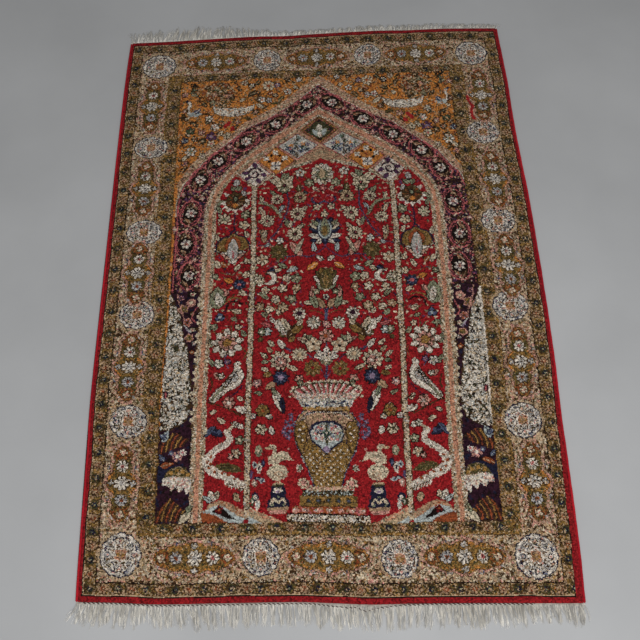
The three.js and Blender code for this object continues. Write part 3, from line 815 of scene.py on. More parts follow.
field.leaves((
    (104, 437, 122, 420, 13, "tan", "olive"), (111, 456, 128, 450, 11, "gold"),
    (118, 462, 132, 468, 9, "cream"), (58, 463, 80, 474, 8, "cream", "olive"),
    (120, 490, 134, 503, 8, "cream", "moss"), (118, 484, 132, 479, 8, "sage"),
    (110, 502, 122, 514, 8, "sand", "moss"), (104, 420, 88, 372, 17, "ivory", "navy"),
    (108, 426, 100, 404, 8, "sage", "navy"), (90, 404, 84, 368, 9, "navy", "black"),
    (52, 524, 30, 542, 12, "sage"), (62, 536, 38, 528, 7, "pink"), (48, 522, 44, 548, 8, "cream", "moss"),
    (106, 516, 121, 530, 9, "cream"), (84, 512, 100, 532, 12, "ivory", "navy"),
    (96, 540, 70, 564, 20, "olive", "ivory"), (78, 534, 62, 570, 16, "umber", "sand"),
    (72, 548, 48, 566, 14, "gold"), (66, 540, 78, 528, 11, "gold"), (90, 552, 104, 578, 18, "ivory"),
    (76, 556, 92, 582, 14, "cream", "moss"), (60, 566, 48, 578, 9, "cream", "moss"),
    (106, 570, 116, 584, 8, "ivory"), (84, 540, 92, 556, 8, "ivory", "rust"),
    (128, 540, 140, 560, 11, "sage"), (118, 545, 130, 556, 12, "mist", "moss"),
    (112, 562, 136, 572, 9, "rose"), (132, 538, 140, 528, 8, "olive"), (22, 616, 48, 620, 10, "cream"),
    (4, 604, 18, 628, 13, "tan", "olive"), (20, 604, 34, 648, 13, "sage"), (30, 630, 28, 660, 8, "pink"),
    (96, 590, 104, 603, 9, "cream", "moss"), (122, 586, 134, 598, 10, "sage"),
    (58, 660, 68, 640, 8, "cream", "moss"), (124, 630, 140, 648, 10, "sage"),
    (60, 706, 84, 696, 10, "mist"), (84, 706, 104, 716, 10, "sage"),
    (94, 704, 112, 696, 8, "cream", "olive"), (18, 716, 40, 700, 13, "orange", "cream"),
    (4, 722, 20, 734, 9, "ivory", "moss"), (24, 744, 27, 768, 10, "mist", "navy"),
    (52, 735, 76, 770, 18, "pink", "rust"), (66, 738, 46, 782, 8, "cream"),
    (132, 770, 138, 806, 10, "tan"), (124, 762, 112, 756, 7, "pink", "rust"),
    (60, 802, 48, 818, 9, "cream", "moss"), (132, 842, 144, 866, 9, "cream", "rust"),
    (50, 850, 38, 864, 9, "cream"), (52, 902, 56, 924, 11, "olive", "cream"),
    (108, 896, 120, 912, 9, "sage"), (98, 928, 122, 940, 11, "cream"), (86, 940, 76, 960, 10, "sage"),
    (16, 906, 22, 916, 8, "cream", "moss"), (136, 876, 142, 896, 8, "cream"),
    (80, 808, 72, 826, 9, "cream", "rust"), (90, 870, 100, 850, 7, "mist", "navy"),
    (110, 704, 128, 690, 10, "navy", "slate"), (36, 896, 44, 906, 7, "moss", "slate"),
    (128, 408, 144, 416, 7, "sage"), (106, 324, 112, 342, 10, "ivory", "navy"),
    (114, 362, 128, 390, 8, "pink"),
))
field.flowers((
    (92, 447, 17, 9, "navy slate lilac", 0.36), (28, 466, 16.5, 8, "gold umber madder", 0.2, "olive"),
    (55, 443, 9, 5, "pink umber cream"), (52, 434, 6, 4, "sage umber cream"),
    (93.5, 485, 22, 10, "cream umber pearl", 0.5), (92, 482, 12, 7, "pink black ivory"),
    (55, 498, 16, 12, "cream black sand", 0.34, "umber"), (26.5, 519.5, 17, 5, "cream tan black", 0.2),
    (0, 540, 15.5, 7, "pink umber rust"), (26, 570, 15, 9, "ivory moss cream", 0.26, "umber"),
    (55.5, 593, 14.5, 9, "ivory umber aubergine", 0.42, "umber"), (122, 551, 9, 6, "mist moss ivory"),
    (134, 552, 8, 6, "sage umber ivory"), (0, 631, 7, 5, "ivory umber navy", 0.35),
    (91.5, 655, 10, 5, "cream umber ivory"), (106, 628, 10, 5, "cream moss ivory"),
    (139, 612, 10, 5, "tan umber cream"), (89, 608, 11, 6, "sand umber cream"),
    (119, 605, 9, 5, "cream umber ivory"), (62, 656, 9, 5, "tan olive cream"),
    (72, 629, 10, 5, "sage umber cream"), (83, 681, 10, 5, "cream umber ivory"),
    (63, 679.5, 11, 5, "sage umber cream"), (137.5, 726, 13.5, 6, "cream umber tan", 0.28, "umber"),
    (102, 745, 20, 9, "olive umber gold", 0.25, "umber"), (99, 774, 9, 5, "ivory moss mist", 0.35),
    (66, 791, 17, 12, "cream umber umber", 0.36), (127, 828, 15.5, 12, "cream umber umber"),
    (59.5, 844, 17.5, 12, "cream umber umber", 0.36), (52.4, 888.5, 15.5, 12, "sand umber umber", 0.38),
    (104, 886, 14.5, 12, "cream umber umber", 0.34), (87, 924, 20, 9, "cream olive umber", 0.25),
    (30, 927, 11, 6, "sage umber cream"), (0, 841, 8.5, 5, "cream umber sand"),
    (0, 912, 8, 5, "rose umber pink"), (50, 957, 11, 5, "ivory navy rust", 0.3, "moss"),
    (15.5, 861, 8.5, 5, "cream umber pink"), (127, 374, 14, 6, "gold umber rust", 0.24),
    (130, 335, 11.5, 6, "cream umber moss", 0.24), (140, 434, 9.5, 5, "pink violet ivory"),
    (114, 361, 6, 4, "ivory umber sage"), (146, 362, 6, 4, "ivory slate pink"),
    (88, 911, 9, 6, "sage umber cream"), (128, 652, 9, 5, "cream umber tan"),
    (0, 566, 9, 8, "pink violet cream"), (20, 644, 7, 5, "sage umber cream"),
))
for px, qy in ((66, 791), (127, 828), (59.5, 844), (52.4, 888.5), (104, 886), (87, 924)):
    field.oval(px, qy, 3.6, 3.6, "aubergine")
    field.oval(px, qy, 1.5, 1.5, "rose")
field.leaves((
    (96, 936, 112, 950, 10, "cream"), (78, 936, 66, 950, 10, "cream"), (87, 938, 87, 958, 11, "sage"),
    (83, 812, 86, 832, 8, "sage"), (135, 784, 130, 802, 8, "cream"), (120, 768, 132, 760, 8, "mist"),
))
# The calyx on the middle stem, the small palmette above it, the great palmette and the one under the arch.
centre_paper.flower(0, 486, 14, 9, "sage", "umber", "cream", core=0.5)
for tip in ((-26, 494), (-22, 505), (0, 516), (22, 505), (26, 494)):
    centre_paper.leaf((0, 492), tip, 11, "ivory", "navy")
centre_paper.flower(0, 487, 7, 6, "cream", "moss", "ivory", core=0.4)
centre_paper.leaf((0, 646), (0, 704), 40, "cream")
for side in (-1, 1):
    for low, high, out, dye in (
        (650, 668, 21, "sage"), (658, 684, 25, "ivory"), (672, 696, 21, "olive"), (684, 704, 12, "gold")
    ):
        centre_paper.leaf((side * 4, low), (side * out, high), 13, dye, "umber")
centre_paper.leaf((0, 650), (0, 702), 27, "olive", "gold", edge="umber")
centre_paper.leaf((0, 656), (0, 690), 14, "gold", "moss", edge="moss")
for side in (-1, 1):
    for start, end, width, dye, vein in (
        ((4, 776), (34, 771), 12, "navy", "slate"), ((6, 780), (36, 788), 13, "ivory", "navy"),
        ((8, 792), (35, 806), 13, "navy", "slate"), ((8, 800), (34, 818), 13, "cream", "navy"),
        ((6, 806), (18, 832), 13, "navy", "slate"), ((5, 776), (20, 764), 11, "ivory", "umber"),
        ((2, 802), (30, 826), 9, "sage", "umber"),
    ):
        centre_paper.leaf((side * start[0], start[1]), (side * end[0], end[1]), width, dye, vein)
centre_paper.oval(0, 800, 18, 27, "navy")
centre_paper.oval(0, 802, 15, 25, "mist")
centre_paper.leaf((0, 780), (0, 832), 20, "sage", "navy", edge="navy")
centre_paper.oval(0, 797, 6.5, 13, "gold")
centre_paper.leaf((0, 776), (0, 762), 14, "navy", "slate")
for step in range(13):
    turn = step * math.pi * 2 / 13 + math.pi / 2
    tip = (math.cos(turn) * 27, 951 + math.sin(turn) * 31)
    centre_paper.leaf(
        (math.cos(turn) * 8, 949 + math.sin(turn) * 8), tip, 13, "cream" if step % 2 else "ivory", "olive"
    )
centre_paper.flower(0, 948, 15, 9, "sage", "umber", "cream", core=0.5, rim="black")
centre_paper.leaf((0, 938), (0, 966), 14, "sand", "olive", edge="moss")
# Two white crescents hold spotted masses against the columns, with navy leaves above them.
for dx, dy, spot in field.at(120, 680, 22):
    moon = (np.hypot(dx, dy) < 15.5) & (np.hypot(dx - 6.5, dy - 1) > 11.5) & (dx < 11)
    spot[(np.hypot(dx, dy) < 17) & (np.hypot(dx - 6.5, dy - 1) > 10.5) & (dx < 12)] = DYE["umber"]
    spot[moon] = DYE["ivory"]
field.flower(144, 676, 15, 8, "sage", "umber", "cream", core=0.5)
mottle(inside_field & (np.hypot(aside - 144, q - 676) < 15), "cream moss ivory umber", 2.5, 57, 0.6)

# The red side panels: a pair of white birds at the foot, then flowers, a white palmette, leaves and a
# winged palmette, one above another up to the arch.
for route, width, dye in (
    ([(229, 402), (212, 430), (195, 455), (176, 476)], 2.0, "umber"),
    ([(236, 396), (214, 388), (190, 376), (172, 366)], 3.0, "umber"),
    ([(197, 800), (199, 826), (197, 852)], 3.4, "navy"),
    ([(233, 448), (229, 432), (233, 420)], 3.0, "umber"),
    ([(194, 545), (196, 572), (188, 590), (200, 606)], 2.0, "olive"),
    ([(176, 619), (190, 626), (204, 622), (210, 606)], 4.0, "black"),
    ([(180, 632), (192, 636), (206, 631), (216, 618)], 3.4, "gold"),
    ([(206, 560), (222, 552), (236, 556)], 1.8, "olive"),
    ([(170, 430), (184, 413), (200, 404)], 2.4, "navy"),
    ([(199, 470), (206, 490), (203, 500)], 2.0, "slate"),
    ([(168, 700), (186, 690), (204, 692), (226, 700)], 1.8, "olive"),
    ([(200, 856), (216, 846), (232, 850)], 1.8, "olive"),
    ([(180, 730), (170, 745), (168, 760)], 1.8, "olive"),
    ([(170, 515), (164, 500), (170, 488)], 1.6, "olive"),
    ([(186, 902), (184, 925), (196, 946)], 1.6, "olive"),
):
    field.line(route, width, dye)
field.leaves((
    (160, 372, 182, 384, 14, "ivory"), (202, 350, 218, 360, 9, "cream"), (228, 854, 236, 874, 9, "sage"),
    (226, 712, 238, 730, 13, "cream"), (212, 712, 226, 726, 11, "rust", "cream"),
    (198, 674, 216, 682, 12, "orange"), (228, 610, 228, 664, 32, "sage"),
    (222, 616, 230, 650, 15, "ivory", "moss"), (218, 192, 228, 212, 15, "ivory"),
    (224, 190, 240, 202, 9, "mist"), (214, 196, 212, 212, 8, "cream"),
    (172, 190, 180, 208, 11, "sand", "olive"), (178, 846, 168, 860, 10, "cream"),
    (222, 838, 234, 852, 9, "cream", "moss"), (176, 598, 196, 604, 9, "cream"),
    (184, 580, 198, 586, 8, "sage"), (196, 700, 184, 718, 9, "cream"), (170, 640, 184, 652, 10, "cream"),
    (214, 640, 206, 656, 9, "pink"), (226, 474, 238, 492, 9, "sage"),
    (168, 452, 178, 438, 9, "mist", "navy"), (214, 446, 226, 460, 10, "pink"),
    (166, 396, 178, 408, 8, "cream"), (232, 372, 218, 376, 8, "cream", "moss"),
    (166, 338, 180, 350, 10, "ivory", "moss"), (232, 780, 238, 800, 8, "cream"),
    (168, 786, 176, 804, 9, "cream"), (226, 890, 238, 872, 8, "sage"), (168, 872, 176, 890, 8, "cream"),
    (234, 518, 240, 540, 8, "sage"), (166, 540, 176, 556, 9, "sage"),
))
field.flowers((
    (198, 886, 26, 9, "umber olive umber", 0.45), (221, 838, 14, 7, "cream umber sage"),
    (174, 846, 11, 6, "sage umber cream"), (178, 819, 12, 5, "cream umber sand"),
    (184, 666, 14, 7, "navy slate rose", 0.3, "umber"),
    (203.5, 527, 33, 9, "ivory umber pearl", 0.5, "umber"), (203.5, 527, 19, 8, "pink umber ivory", 0.4),
    (203.5, 527, 9.5, 5, "ochre rust gold", 0.5, "umber"), (218, 480, 10, 5, "ivory navy sage"),
    (201, 484, 6.5, 5, "violet lilac pink"), (195, 393, 13, 6, "pink umber ivory", 0.32),
    (182, 346, 7, 5, "ivory umber sage"), (178, 287, 10, 5, "cream umber tan"),
    (172, 314, 9, 5, "sage umber cream"), (188, 280, 6, 4, "pink umber ivory"),
    (182, 564, 7, 5, "cream umber tan"), (232, 566, 8, 5, "sage umber cream"),
    (222, 589, 10, 3, "slate black mist"), (170, 690, 8, 5, "cream umber tan"),
    (236, 690, 7, 5, "sage umber cream"), (170, 724, 7, 5, "cream umber tan"),
    (232, 758, 6, 5, "cream umber tan"), (212, 452, 6, 5, "ivory umber sage"),
))
# A white bird with a dark scaly wing looks up towards the column.
field.shape([
    (180, 486), (174, 481), (175, 472), (169, 460), (168, 446), (174, 433), (190, 422), (206, 411),
    (218, 398), (226, 394), (235, 402), (224, 418), (212, 432), (201, 445), (193, 457), (188, 468),
    (188, 480),
], "ivory", edge="black")
field.shape([
    (186, 462), (179, 452), (181, 441), (192, 437), (206, 428), (204, 440), (195, 454)
], "pearl", edge="umber")
for step in range(5):
    field.line([
        (182 + step * 4, 462 - step * 7), (190 + step * 3, 452 - step * 6),
        (198 + step * 2, 448 - step * 4)
    ], 2.2, "black")
field.line([(229, 401), (214, 419), (205, 428)], 3.0, "sage", edge="umber")
field.line([(222, 399), (206, 417)], 1.6, "umber")
field.oval(181, 480, 1.6, 1.6, "black")
# A brown blossom tipped with white stands at the top, and a gold palmette in a white cup under it.
for turn in (-10, -36, -60, -92, -121, -149, -178, 42, 142):
    c, s = math.cos(math.radians(turn)), math.sin(math.radians(turn))
    field.shape([(198 + c * 23 - s * 6, 886 + s * 23 + c * 6), (198 + c * 35, 886 + s * 35),
                 (198 + c * 23 + s * 6, 886 + s * 23 - c * 6)], "ivory")
    field.line([
        (198 + c * 9, 886 + s * 9), (198 + c * 20, 886 + s * 20)
    ], 2.0, "tan" if turn % 2 else "rust")
field.oval(198, 891, 6, 8.5, "black")
field.oval(198, 891, 3.6, 5.5, "sage")
field.oval(198, 873, 6, 5, "orange")
field.leaves((
    (200, 914, 207, 926, 11, "sage"), (196, 914, 186, 926, 11, "sage"), (178, 898, 182, 914, 9, "pearl"),
    (197, 926, 195, 946, 13, "pearl"),
))
field.oval(177, 918, 4, 5, "violet")
field.shape([
    (200, 800), (190, 794), (178, 788), (170, 776), (168, 758), (184, 750), (200, 746), (216, 750),
    (234, 758), (231, 776), (223, 788), (210, 794)
], "gold", edge="umber")
field.shape([
    (200, 793), (188, 784), (182, 770), (186, 756), (200, 750), (214, 756), (219, 770), (212, 784)
], "rust", edge="umber")
field.line([
    (165, 754), (167, 774), (176, 788), (190, 793), (200, 806), (211, 793), (225, 788), (235, 774),
    (237, 754)
], 3.2, "navy")
field.shape([
    (170, 749), (182, 742), (189, 728), (200, 719), (211, 728), (219, 742), (230, 749), (214, 752),
    (200, 744), (186, 752)
], "ivory", edge="black")
field.leaf((204, 730), (225, 747), 7, "pink", "cream")
field.leaf((196, 730), (175, 747), 7, "pink", "cream")
field.leaf((200, 728), (200, 786), 23, "pearl", "sage", edge="moss")
field.line([(200, 734), (200, 752)], 3.0, "rose")
# The white bird with brown spots, its long tail sweeping down and inwards, and the dark one above it.
BIRD = [
    (197, 332), (192, 320), (194, 310), (203, 303), (213, 297), (223, 289), (230, 280), (234, 270),
    (232, 260), (225, 252), (214, 246), (202, 241), (188, 236), (176, 229), (164, 222),
]
field.line(BIRD, 13, "ivory")
field.line([(228, 282), (234, 270), (228, 256), (212, 246)], 19, "ivory")
field.line([(196, 334), (188, 340)], 6, "cream")
for px, qy in (
    (227, 281), (233, 270), (226, 266), (229, 258), (219, 250), (205, 247), (192, 243), (180, 236)
):
    field.oval(px, qy, 3.2, 3, "rust")
for foot in range(6):
    field.line([(200 - foot * 6, 236 - foot * 2.4), (196 - foot * 6, 222 - foot * 2)], 3, "ivory")
    field.line([(196.6 - foot * 6, 232 - foot * 2.4), (193.4 - foot * 6, 222 - foot * 2)], 1.6, "umber")
field.shape([
    (164, 250), (176, 262), (192, 268), (206, 268), (218, 262), (210, 254), (196, 250), (182, 248)
], "olive")
field.line([(168, 252), (184, 262), (204, 264)], 1.8, "umber")
field.line([(176, 252), (192, 258), (208, 258)], 1.6, "moss")
field.leaf((232, 338), (206, 322), 15, "navy", "slate")
field.leaf((222, 345), (240, 322), 10, "slate", "black")
field.oval(212, 331, 4, 4, "slate")
field.oval(240, 335, 4, 7, "cream")
# Hills and a small red hollow at the foot of the side panels.
field.shape([
    (240, 172), (226, 188), (208, 193), (190, 188), (170, 176), (162, 170), (162, 150), (240, 150)
], "tan")
field.shape([
    (240, 170), (228, 179), (212, 184), (196, 178), (176, 164), (162, 158), (162, 150), (240, 150)
], "mist")
field.shape([(222, 172), (212, 181), (200, 176), (190, 165), (176, 155), (196, 160)], "black")
field.flower(209, 175, 8, 4, "deep_madder", "black", "rust", core=0.3)
field.shape([(242, 170), (226, 168), (208, 160), (192, 150), (242, 150)], "rust")
mottle(
    inside_field & (aside > 162) & (aside < 240) & (q < 192) & (knots == DYE["tan"]),
    "tan salmon rust sand", 2.8, 61, 0.5
)
mottle(
    inside_field & (aside > 84) & (aside < 152) & (q < 182) & (knots == DYE["salmon"]),
    "tan salmon cream sage", 2.8, 62, 0.6
)


# The navy side panels: a white cypress over a flowering mound.
field.shape([
    (329, 655), (322, 645), (314, 620), (305, 600), (298, 568), (293, 537), (284, 523), (281, 500),
    (273, 450), (268, 411), (270, 376), (278, 358), (290, 347), (309, 337), (329, 337),
], "umber")
field.shape([
    (329, 650), (324, 645), (316, 620), (307, 600), (300, 568), (295, 537), (286, 523), (283, 500),
    (275, 450), (270, 411), (272, 376), (280, 359), (291, 349), (309, 339), (329, 339),
], "ivory")
cypress = inside_field & (aside > 262) & (knots == DYE["ivory"]) & (q > 337) & (q < 655)
mottle(cypress, "pearl cream ivory mist sand", 2.6, 71, 0.6)
curls(cypress, "black", 8.0, 0.05, 74)
curls(cypress, "moss", 6.5, 0.05, 75)
curls(cypress, "umber", 11.0, 0.04, 76)
# The vine's foot comes down between the cypress and the salmon band, and white scallops edge the band.
for px, qy, r, petal, gap, heart in (
    (300, 612, 10, "gold", "violet", "olive"), (284, 627, 9, "pink", "umber", "cream"),
    (279, 600, 7, "umber", "violet", "sand"), (289, 580, 8, "rust", "lilac", "umber"),
    (277, 563, 5.5, "cream", "umber", "pink"), (283, 543, 8, "gold", "umber", "olive"),
    (305, 640, 7, "violet", "pink", "umber"), (275, 510, 6, "rust", "umber", "sand"),
    (281, 648, 6, "cream", "umber", "rose"), (273, 530, 4, "pearl", "umber", "pink")
):
    field.flower(px, qy, r, 5, petal, gap, heart, core=0.4, rim="pink" if r > 7 else "black", turn=qy)
for route, dye in (
    ([(313, 650), (310, 630), (300, 598), (297, 588)], "pink"),
    ([(296, 574), (286, 562), (280, 556)], "pearl"), ([(292, 566), (282, 553)], "lilac"),
    ([(272, 580), (280, 590), (276, 606), (270, 616)], "rose")
):
    field.line(route, 2.2, dye)
for step in range(22):
    field.oval(267, 346 + step * 14.5, 3.0, 4.2, "cream" if step % 3 else "umber")
field.oval(321, 416, 4.5, 9, "aubergine")
field.oval(321, 416, 2.2, 5, "rose")
for px, qy in ((300, 470), (288, 400), (310, 520), (303, 580), (318, 600)):
    field.oval(px, qy, 2.6, 4, "moss")
for step in range(11):
    low, high = (328 - step * 4.6, 290 + step * 1.6), (316 - step * 4.4, 332 - abs(step - 4) * 2.2)
    field.line(
        [low, ((low[0] + high[0]) / 2 + 3, (low[1] + high[1]) / 2), high], 2.8,
        ("umber", "rust", "umber", "ochre")[step % 4]
    )
field.leaf((322, 312), (312, 338), 12, "mist", "slate")
field.leaf((326, 330), (316, 318), 9, "slate", "mist")
for px, qy, r, petal, heart in (
    (292, 284, 11.5, "pink", "ivory"), (281, 292, 7, "ivory", "rose"), (304, 290, 6, "slate", "mist")
):
    field.flower(px, qy, r, 6, petal, "violet", heart, core=0.35)
field.leaf((324, 262), (300, 272), 12, "rust", "sand")
field.leaf((318, 276), (328, 288), 8, "slate", "mist")
field.shape([
    (329, 268), (318, 256), (308, 264), (290, 267), (276, 262), (265, 252), (263, 236), (329, 232)
], "navy")
mound = [(316, 238), (312, 250), (303, 260), (288, 264), (274, 260), (264, 246), (263, 232), (290, 226)]
field.shape(mound, "olive")
panel_olive = inside_field & (aside > 262) & (aside < 330) & (knots == DYE["olive"])
mottle(panel_olive, "gold sand olive moss", 2.6, 72, 0.6)
for px, qy in ((303, 250), (292, 255), (280, 252), (270, 246)):
    field.shape([(px - 4, qy - 3), (px + 3, qy - 4), (px + 4, qy + 3), (px - 3, qy + 4)], "ochre")
field.shape([
    (318, 240), (300, 244), (282, 240), (264, 240), (262, 214), (272, 205), (276, 220), (286, 210),
    (292, 224), (302, 215), (308, 226), (320, 226)
], "ivory")
mottle(
    inside_field & (aside > 262) & (q > 204) & (q < 245) & (knots == DYE["ivory"]),
    "pink cream ivory pearl", 2.6, 73, 0.7
)
for step in range(13):
    low, high = (330 - step * 4.4, 152 + (step * 5) % 4), (313 - step * 3.6, 197 - abs(step - 3) * 3.0)
    field.line(
        [low, ((low[0] + high[0]) / 2 + 3, (low[1] + high[1]) / 2), high], 2.8,
        ("umber", "rust", "umber", "ochre")[step % 4]
    )
field.leaf((262, 172), (284, 150), 14, "cream", "sage")
field.leaf((262, 184), (270, 168), 9, "sage", "umber")

# The spandrels over the arch: orange, with a bowl of flowers, a bird and scattered blooms on each side.
spandrel = inside_field & (aside > outer_edge + 1) & (q > 936)
mottle(spandrel, "olive orange rust sand", 4.2, 79, 0.16)
curls(spandrel, "umber", 15.0, 0.032, 83)
curls(spandrel, "olive", 12.0, 0.025, 84)
heap = spandrel & (np.hypot((aside - 238) / 36, (q - 1196) / 42) < 1)
mottle(heap, "umber tan moss sand olive umber", 3.0, 87, 0.85)
for px, qy in (
    (230, 1178), (244, 1186), (256, 1176), (238, 1200), (222, 1194), (252, 1202), (264, 1192), (230, 1214),
    (246, 1220), (260, 1212), (214, 1206), (238, 1232), (254, 1234), (268, 1224), (224, 1230),
):
    field.flower(
        px, qy, 7.5, 5, ("olive", "sage", "pink", "umber", "rust")[px % 5], "umber", "sand", core=0.35,
        turn=px
    )
    field.oval(px + 6, qy - 5, 3.4, 2, ("moss", "umber", "cream")[px % 3], 0.7)
field.shape([
    (152, 1166), (168, 1158), (190, 1156), (222, 1158), (244, 1160), (256, 1168), (250, 1146), (232, 1134),
    (206, 1131), (178, 1134), (158, 1146)
], "ivory", edge="umber")
mottle(spandrel & (knots == DYE["ivory"]), "pearl cream umber ivory", 2.6, 81, 0.6)
field.line([
    (288, 1146), (298, 1142), (310, 1148), (313, 1162), (309, 1176), (315, 1184)
], 6, "ivory", edge="umber")
field.oval(296, 1145, 15, 8, "mist")
field.leaf((298, 1148), (284, 1160), 9, "slate", "ivory")
field.oval(316, 1184, 4.4, 3.4, "navy")
field.leaves((
    (292, 1226, 310, 1238, 10, "black", "moss"), (294, 1200, 310, 1214, 10, "sage"),
    (210, 1090, 192, 1106, 10, "umber", "sand"), (176, 1128, 160, 1116, 9, "olive"),
    (132, 1150, 150, 1166, 10, "cream"), (96, 1172, 84, 1186, 9, "olive", "sand"),
    (150, 1200, 170, 1192, 9, "moss", "sand"), (60, 1216, 48, 1206, 8, "cream"),
    (288, 1110, 308, 1122, 10, "umber", "sage"), (270, 1112, 256, 1128, 10, "moss", "sand"),
    (318, 1090, 306, 1078, 10, "umber", "cream"), (240, 1072, 230, 1090, 9, "cream"),
    (292, 1040, 310, 1052, 10, "moss", "sand"), (322, 1010, 310, 1024, 9, "cream"),
    (280, 1180, 270, 1164, 9, "moss", "sand"), (186, 1206, 196, 1222, 9, "umber", "sand"),
    (110, 1200, 124, 1192, 8, "rust", "cream"), (190, 1176, 176, 1184, 8, "cream", "moss"),
    (318, 1130, 306, 1138, 8, "cream"), (322, 976, 312, 992, 9, "umber", "sand"),
    (140, 1236, 152, 1224, 8, "moss", "sand"), (66, 1232, 82, 1240, 8, "umber", "cream"),
))
field.flowers((
    (249, 1101, 10, 5, "ivory umber pink"), (263, 1128, 9, 5, "ivory umber sage"),
    (194, 1116, 9, 5, "pink umber cream"), (220, 1075, 9, 5, "cream umber moss"),
    (256, 1074, 14, 6, "violet umber lilac", 0.34), (256, 1054, 10, 5, "cream umber rose"),
    (277, 1062, 9, 5, "moss black sand"), (319, 1068, 9, 5, "navy mist slate"),
    (303, 1033, 13, 6, "ivory moss sage", 0.35), (305, 1095, 10, 5, "green umber sand"),
    (295, 1070, 8, 5, "umber cream rust"), (120.5, 1219.5, 15, 8, "cream umber rust"),
    (99, 1221, 8, 5, "violet ivory lilac"), (161.5, 1221, 9, 5, "black ivory sage", 0.35),
    (136, 1177, 9, 5, "ivory umber rose"), (119, 1175, 8, 5, "pearl umber slate"),
    (46.6, 1235, 7, 5, "ivory slate pearl"), (74, 1200, 9, 5, "ivory black rust"),
    (300, 1220, 9, 5, "moss black sage"), (178, 1232, 8, 5, "cream umber rust"),
    (322, 1206, 8, 5, "pink umber cream"), (276, 1020, 8, 5, "cream umber violet"),
    (316, 1000, 8, 5, "pink umber violet"), (232, 1112, 8, 5, "moss sand rust"),
    (150, 1140, 8, 5, "umber sand pink"), (104, 1190, 7, 5, "umber cream sand"),
    (280, 1088, 8, 5, "pink umber cream"), (320, 1156, 7, 5, "umber pink cream"),
), rim="umber")
mottle(spandrel, "umber orange tan orange", 2.6, 82, 0.1)
for px, qy in ((222, 1104), (207, 1095), (214, 1112)):
    field.oval(px, qy, 5, 8, "scarlet", 0.5)
# Worn and faded single knots break the pale parts of every motif in the field.
pale = inside_field & np.isin(
    knots, [DYE[name] for name in ("ivory", "cream", "pearl", "sand")]
) & (aside < salmon_in)
field.specks(pale, "umber sage sand pink black tan", np.where(q > 640, 0.13, 0.24), 85)
# Small leaves and stalks fill the red between the flowers of the upper field.
bare = inside_field & np.isin(
    knots, [DYE[name] for name in ("madder", "scarlet", "deep_madder")]
) & (q > 560)
filled = bare & (aside < 150) & ((aside > 48) | (q > 800)) | bare & (aside > 163) & (aside < salmon_in - 8)
field.sprigs(filled, 13.0, "cream sage pink sand", "moss navy violet umber", 88, 0.5)
field.specks(
    inside_field & np.isin(knots, [DYE["olive"], DYE["gold"], DYE["sage"], DYE["pink"]]), "umber tan moss",
    0.24, 86
)
# A later repair in a brighter red crosses the border on the right.
border.line([(835, 1162), (839, 1144), (845, 1134), (841, 1123), (841, 1110), (846, 1095)], 7, "scarlet")

# The foundation and back: cotton warps crossed by wefts, with a knot of wool tied round each pair of warps.
# Seen from below each knot shows as a small cross-wise bead in its own dye, so the back carries the whole
# pattern, flatter and crisper than the face. It lies on the floor.
RUG_WIDTH = 0.948
FOUNDATION_HEIGHT = 0.0019
BACK_SHOULDER = 0.0006
# The rim is rounded over this many millimetres.
ROUNDED_RIM = 3.6
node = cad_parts["rug"]
corners = np.array([node.matrix_world @ corner.co for corner in node.data.vertices])
ring = np.unique(np.round(corners[corners[:, 2] < 1e-4][:, :2], 7), axis=0)
turns = np.arctan2(ring[:, 1], ring[:, 0])


def side_of_rug(start, end, along):
    """The places of one side, from corner to corner anticlockwise, in order along one axis."""
    sweep = (turns[end] - turns[start]) % (2 * np.pi)
    chosen = ring[(turns - turns[start]) % (2 * np.pi) <= sweep + 1e-9]
    chosen = chosen[np.argsort(chosen[:, along])]
    return chosen[:, along], chosen[:, 1 - along]


near_left, near_right = np.argmin(ring.sum(1)), np.argmax(ring[:, 0] - ring[:, 1])
far_right, far_left = np.argmax(ring.sum(1)), np.argmin(ring[:, 0] - ring[:, 1])
near_side = side_of_rug(near_left, near_right, 0)
right_side = side_of_rug(near_right, far_right, 1)
far_side = side_of_rug(far_right, far_left, 0)
left_side = side_of_rug(far_left, near_left, 1)


def place_on_rug(share_across, share_along):
    """Metres on the floor for shares of the rug's own width and length, following its bowed edges."""
    x = (share_across - 0.5) * RUG_WIDTH
    for _ in range(6):
        near, far = np.interp(x, *near_side), np.interp(x, *far_side)
        y = near + (far - near) * share_along
        left, right = np.interp(y, *left_side), np.interp(y, *right_side)
        x = left + (right - left) * share_across
    return x, y


def shares_of_rug(x, y):
    """The shares of the rug's width and length that a place on the floor has, the other way round."""
    left, right = np.interp(y, *left_side), np.interp(y, *right_side)
    near, far = np.interp(x, *near_side), np.interp(x, *far_side)
    return (x - left) / (right - left), (y - near) / (far - near)


def vertex_places(mesh):
    """The places of a mesh's vertices, one in each row."""
    places = np.empty(len(mesh.vertices) * 3)
    mesh.vertices.foreach_get("co", places)
    return places.reshape(-1, 3)


def new_grid(name, columns, rows):
    """A flat grid with its map, and the places of its vertices, from -0.5 to 0.5 both ways."""
    bpy.ops.mesh.primitive_grid_add(x_subdivisions=columns, y_subdivisions=rows, size=1)
    made = bpy.context.object
    made.name = made.data.name = name
    made.data.uv_layers[0].name = "OFBake"
    return made, vertex_places(made.data)


def close_at(height):
    """Draws the rim of the sheet in hand straight to a height and closes it there with a flat face."""
    bpy.ops.object.mode_set(mode="EDIT")
    bpy.ops.mesh.select_mode(type="EDGE")
    bpy.ops.mesh.select_all(action="DESELECT")
    bpy.ops.mesh.select_non_manifold(extend=False)
    bpy.ops.mesh.extrude_edges_move()
    bpy.ops.transform.resize(value=(1, 1, 0), center_override=(0, 0, height))
    bpy.ops.mesh.edge_face_add()
    bpy.ops.mesh.select_all(action="SELECT")
    bpy.ops.mesh.normals_make_consistent(inside=False)
    bpy.ops.object.mode_set(mode="OBJECT")
    bpy.ops.object.shade_smooth_by_angle(angle=math.radians(50))


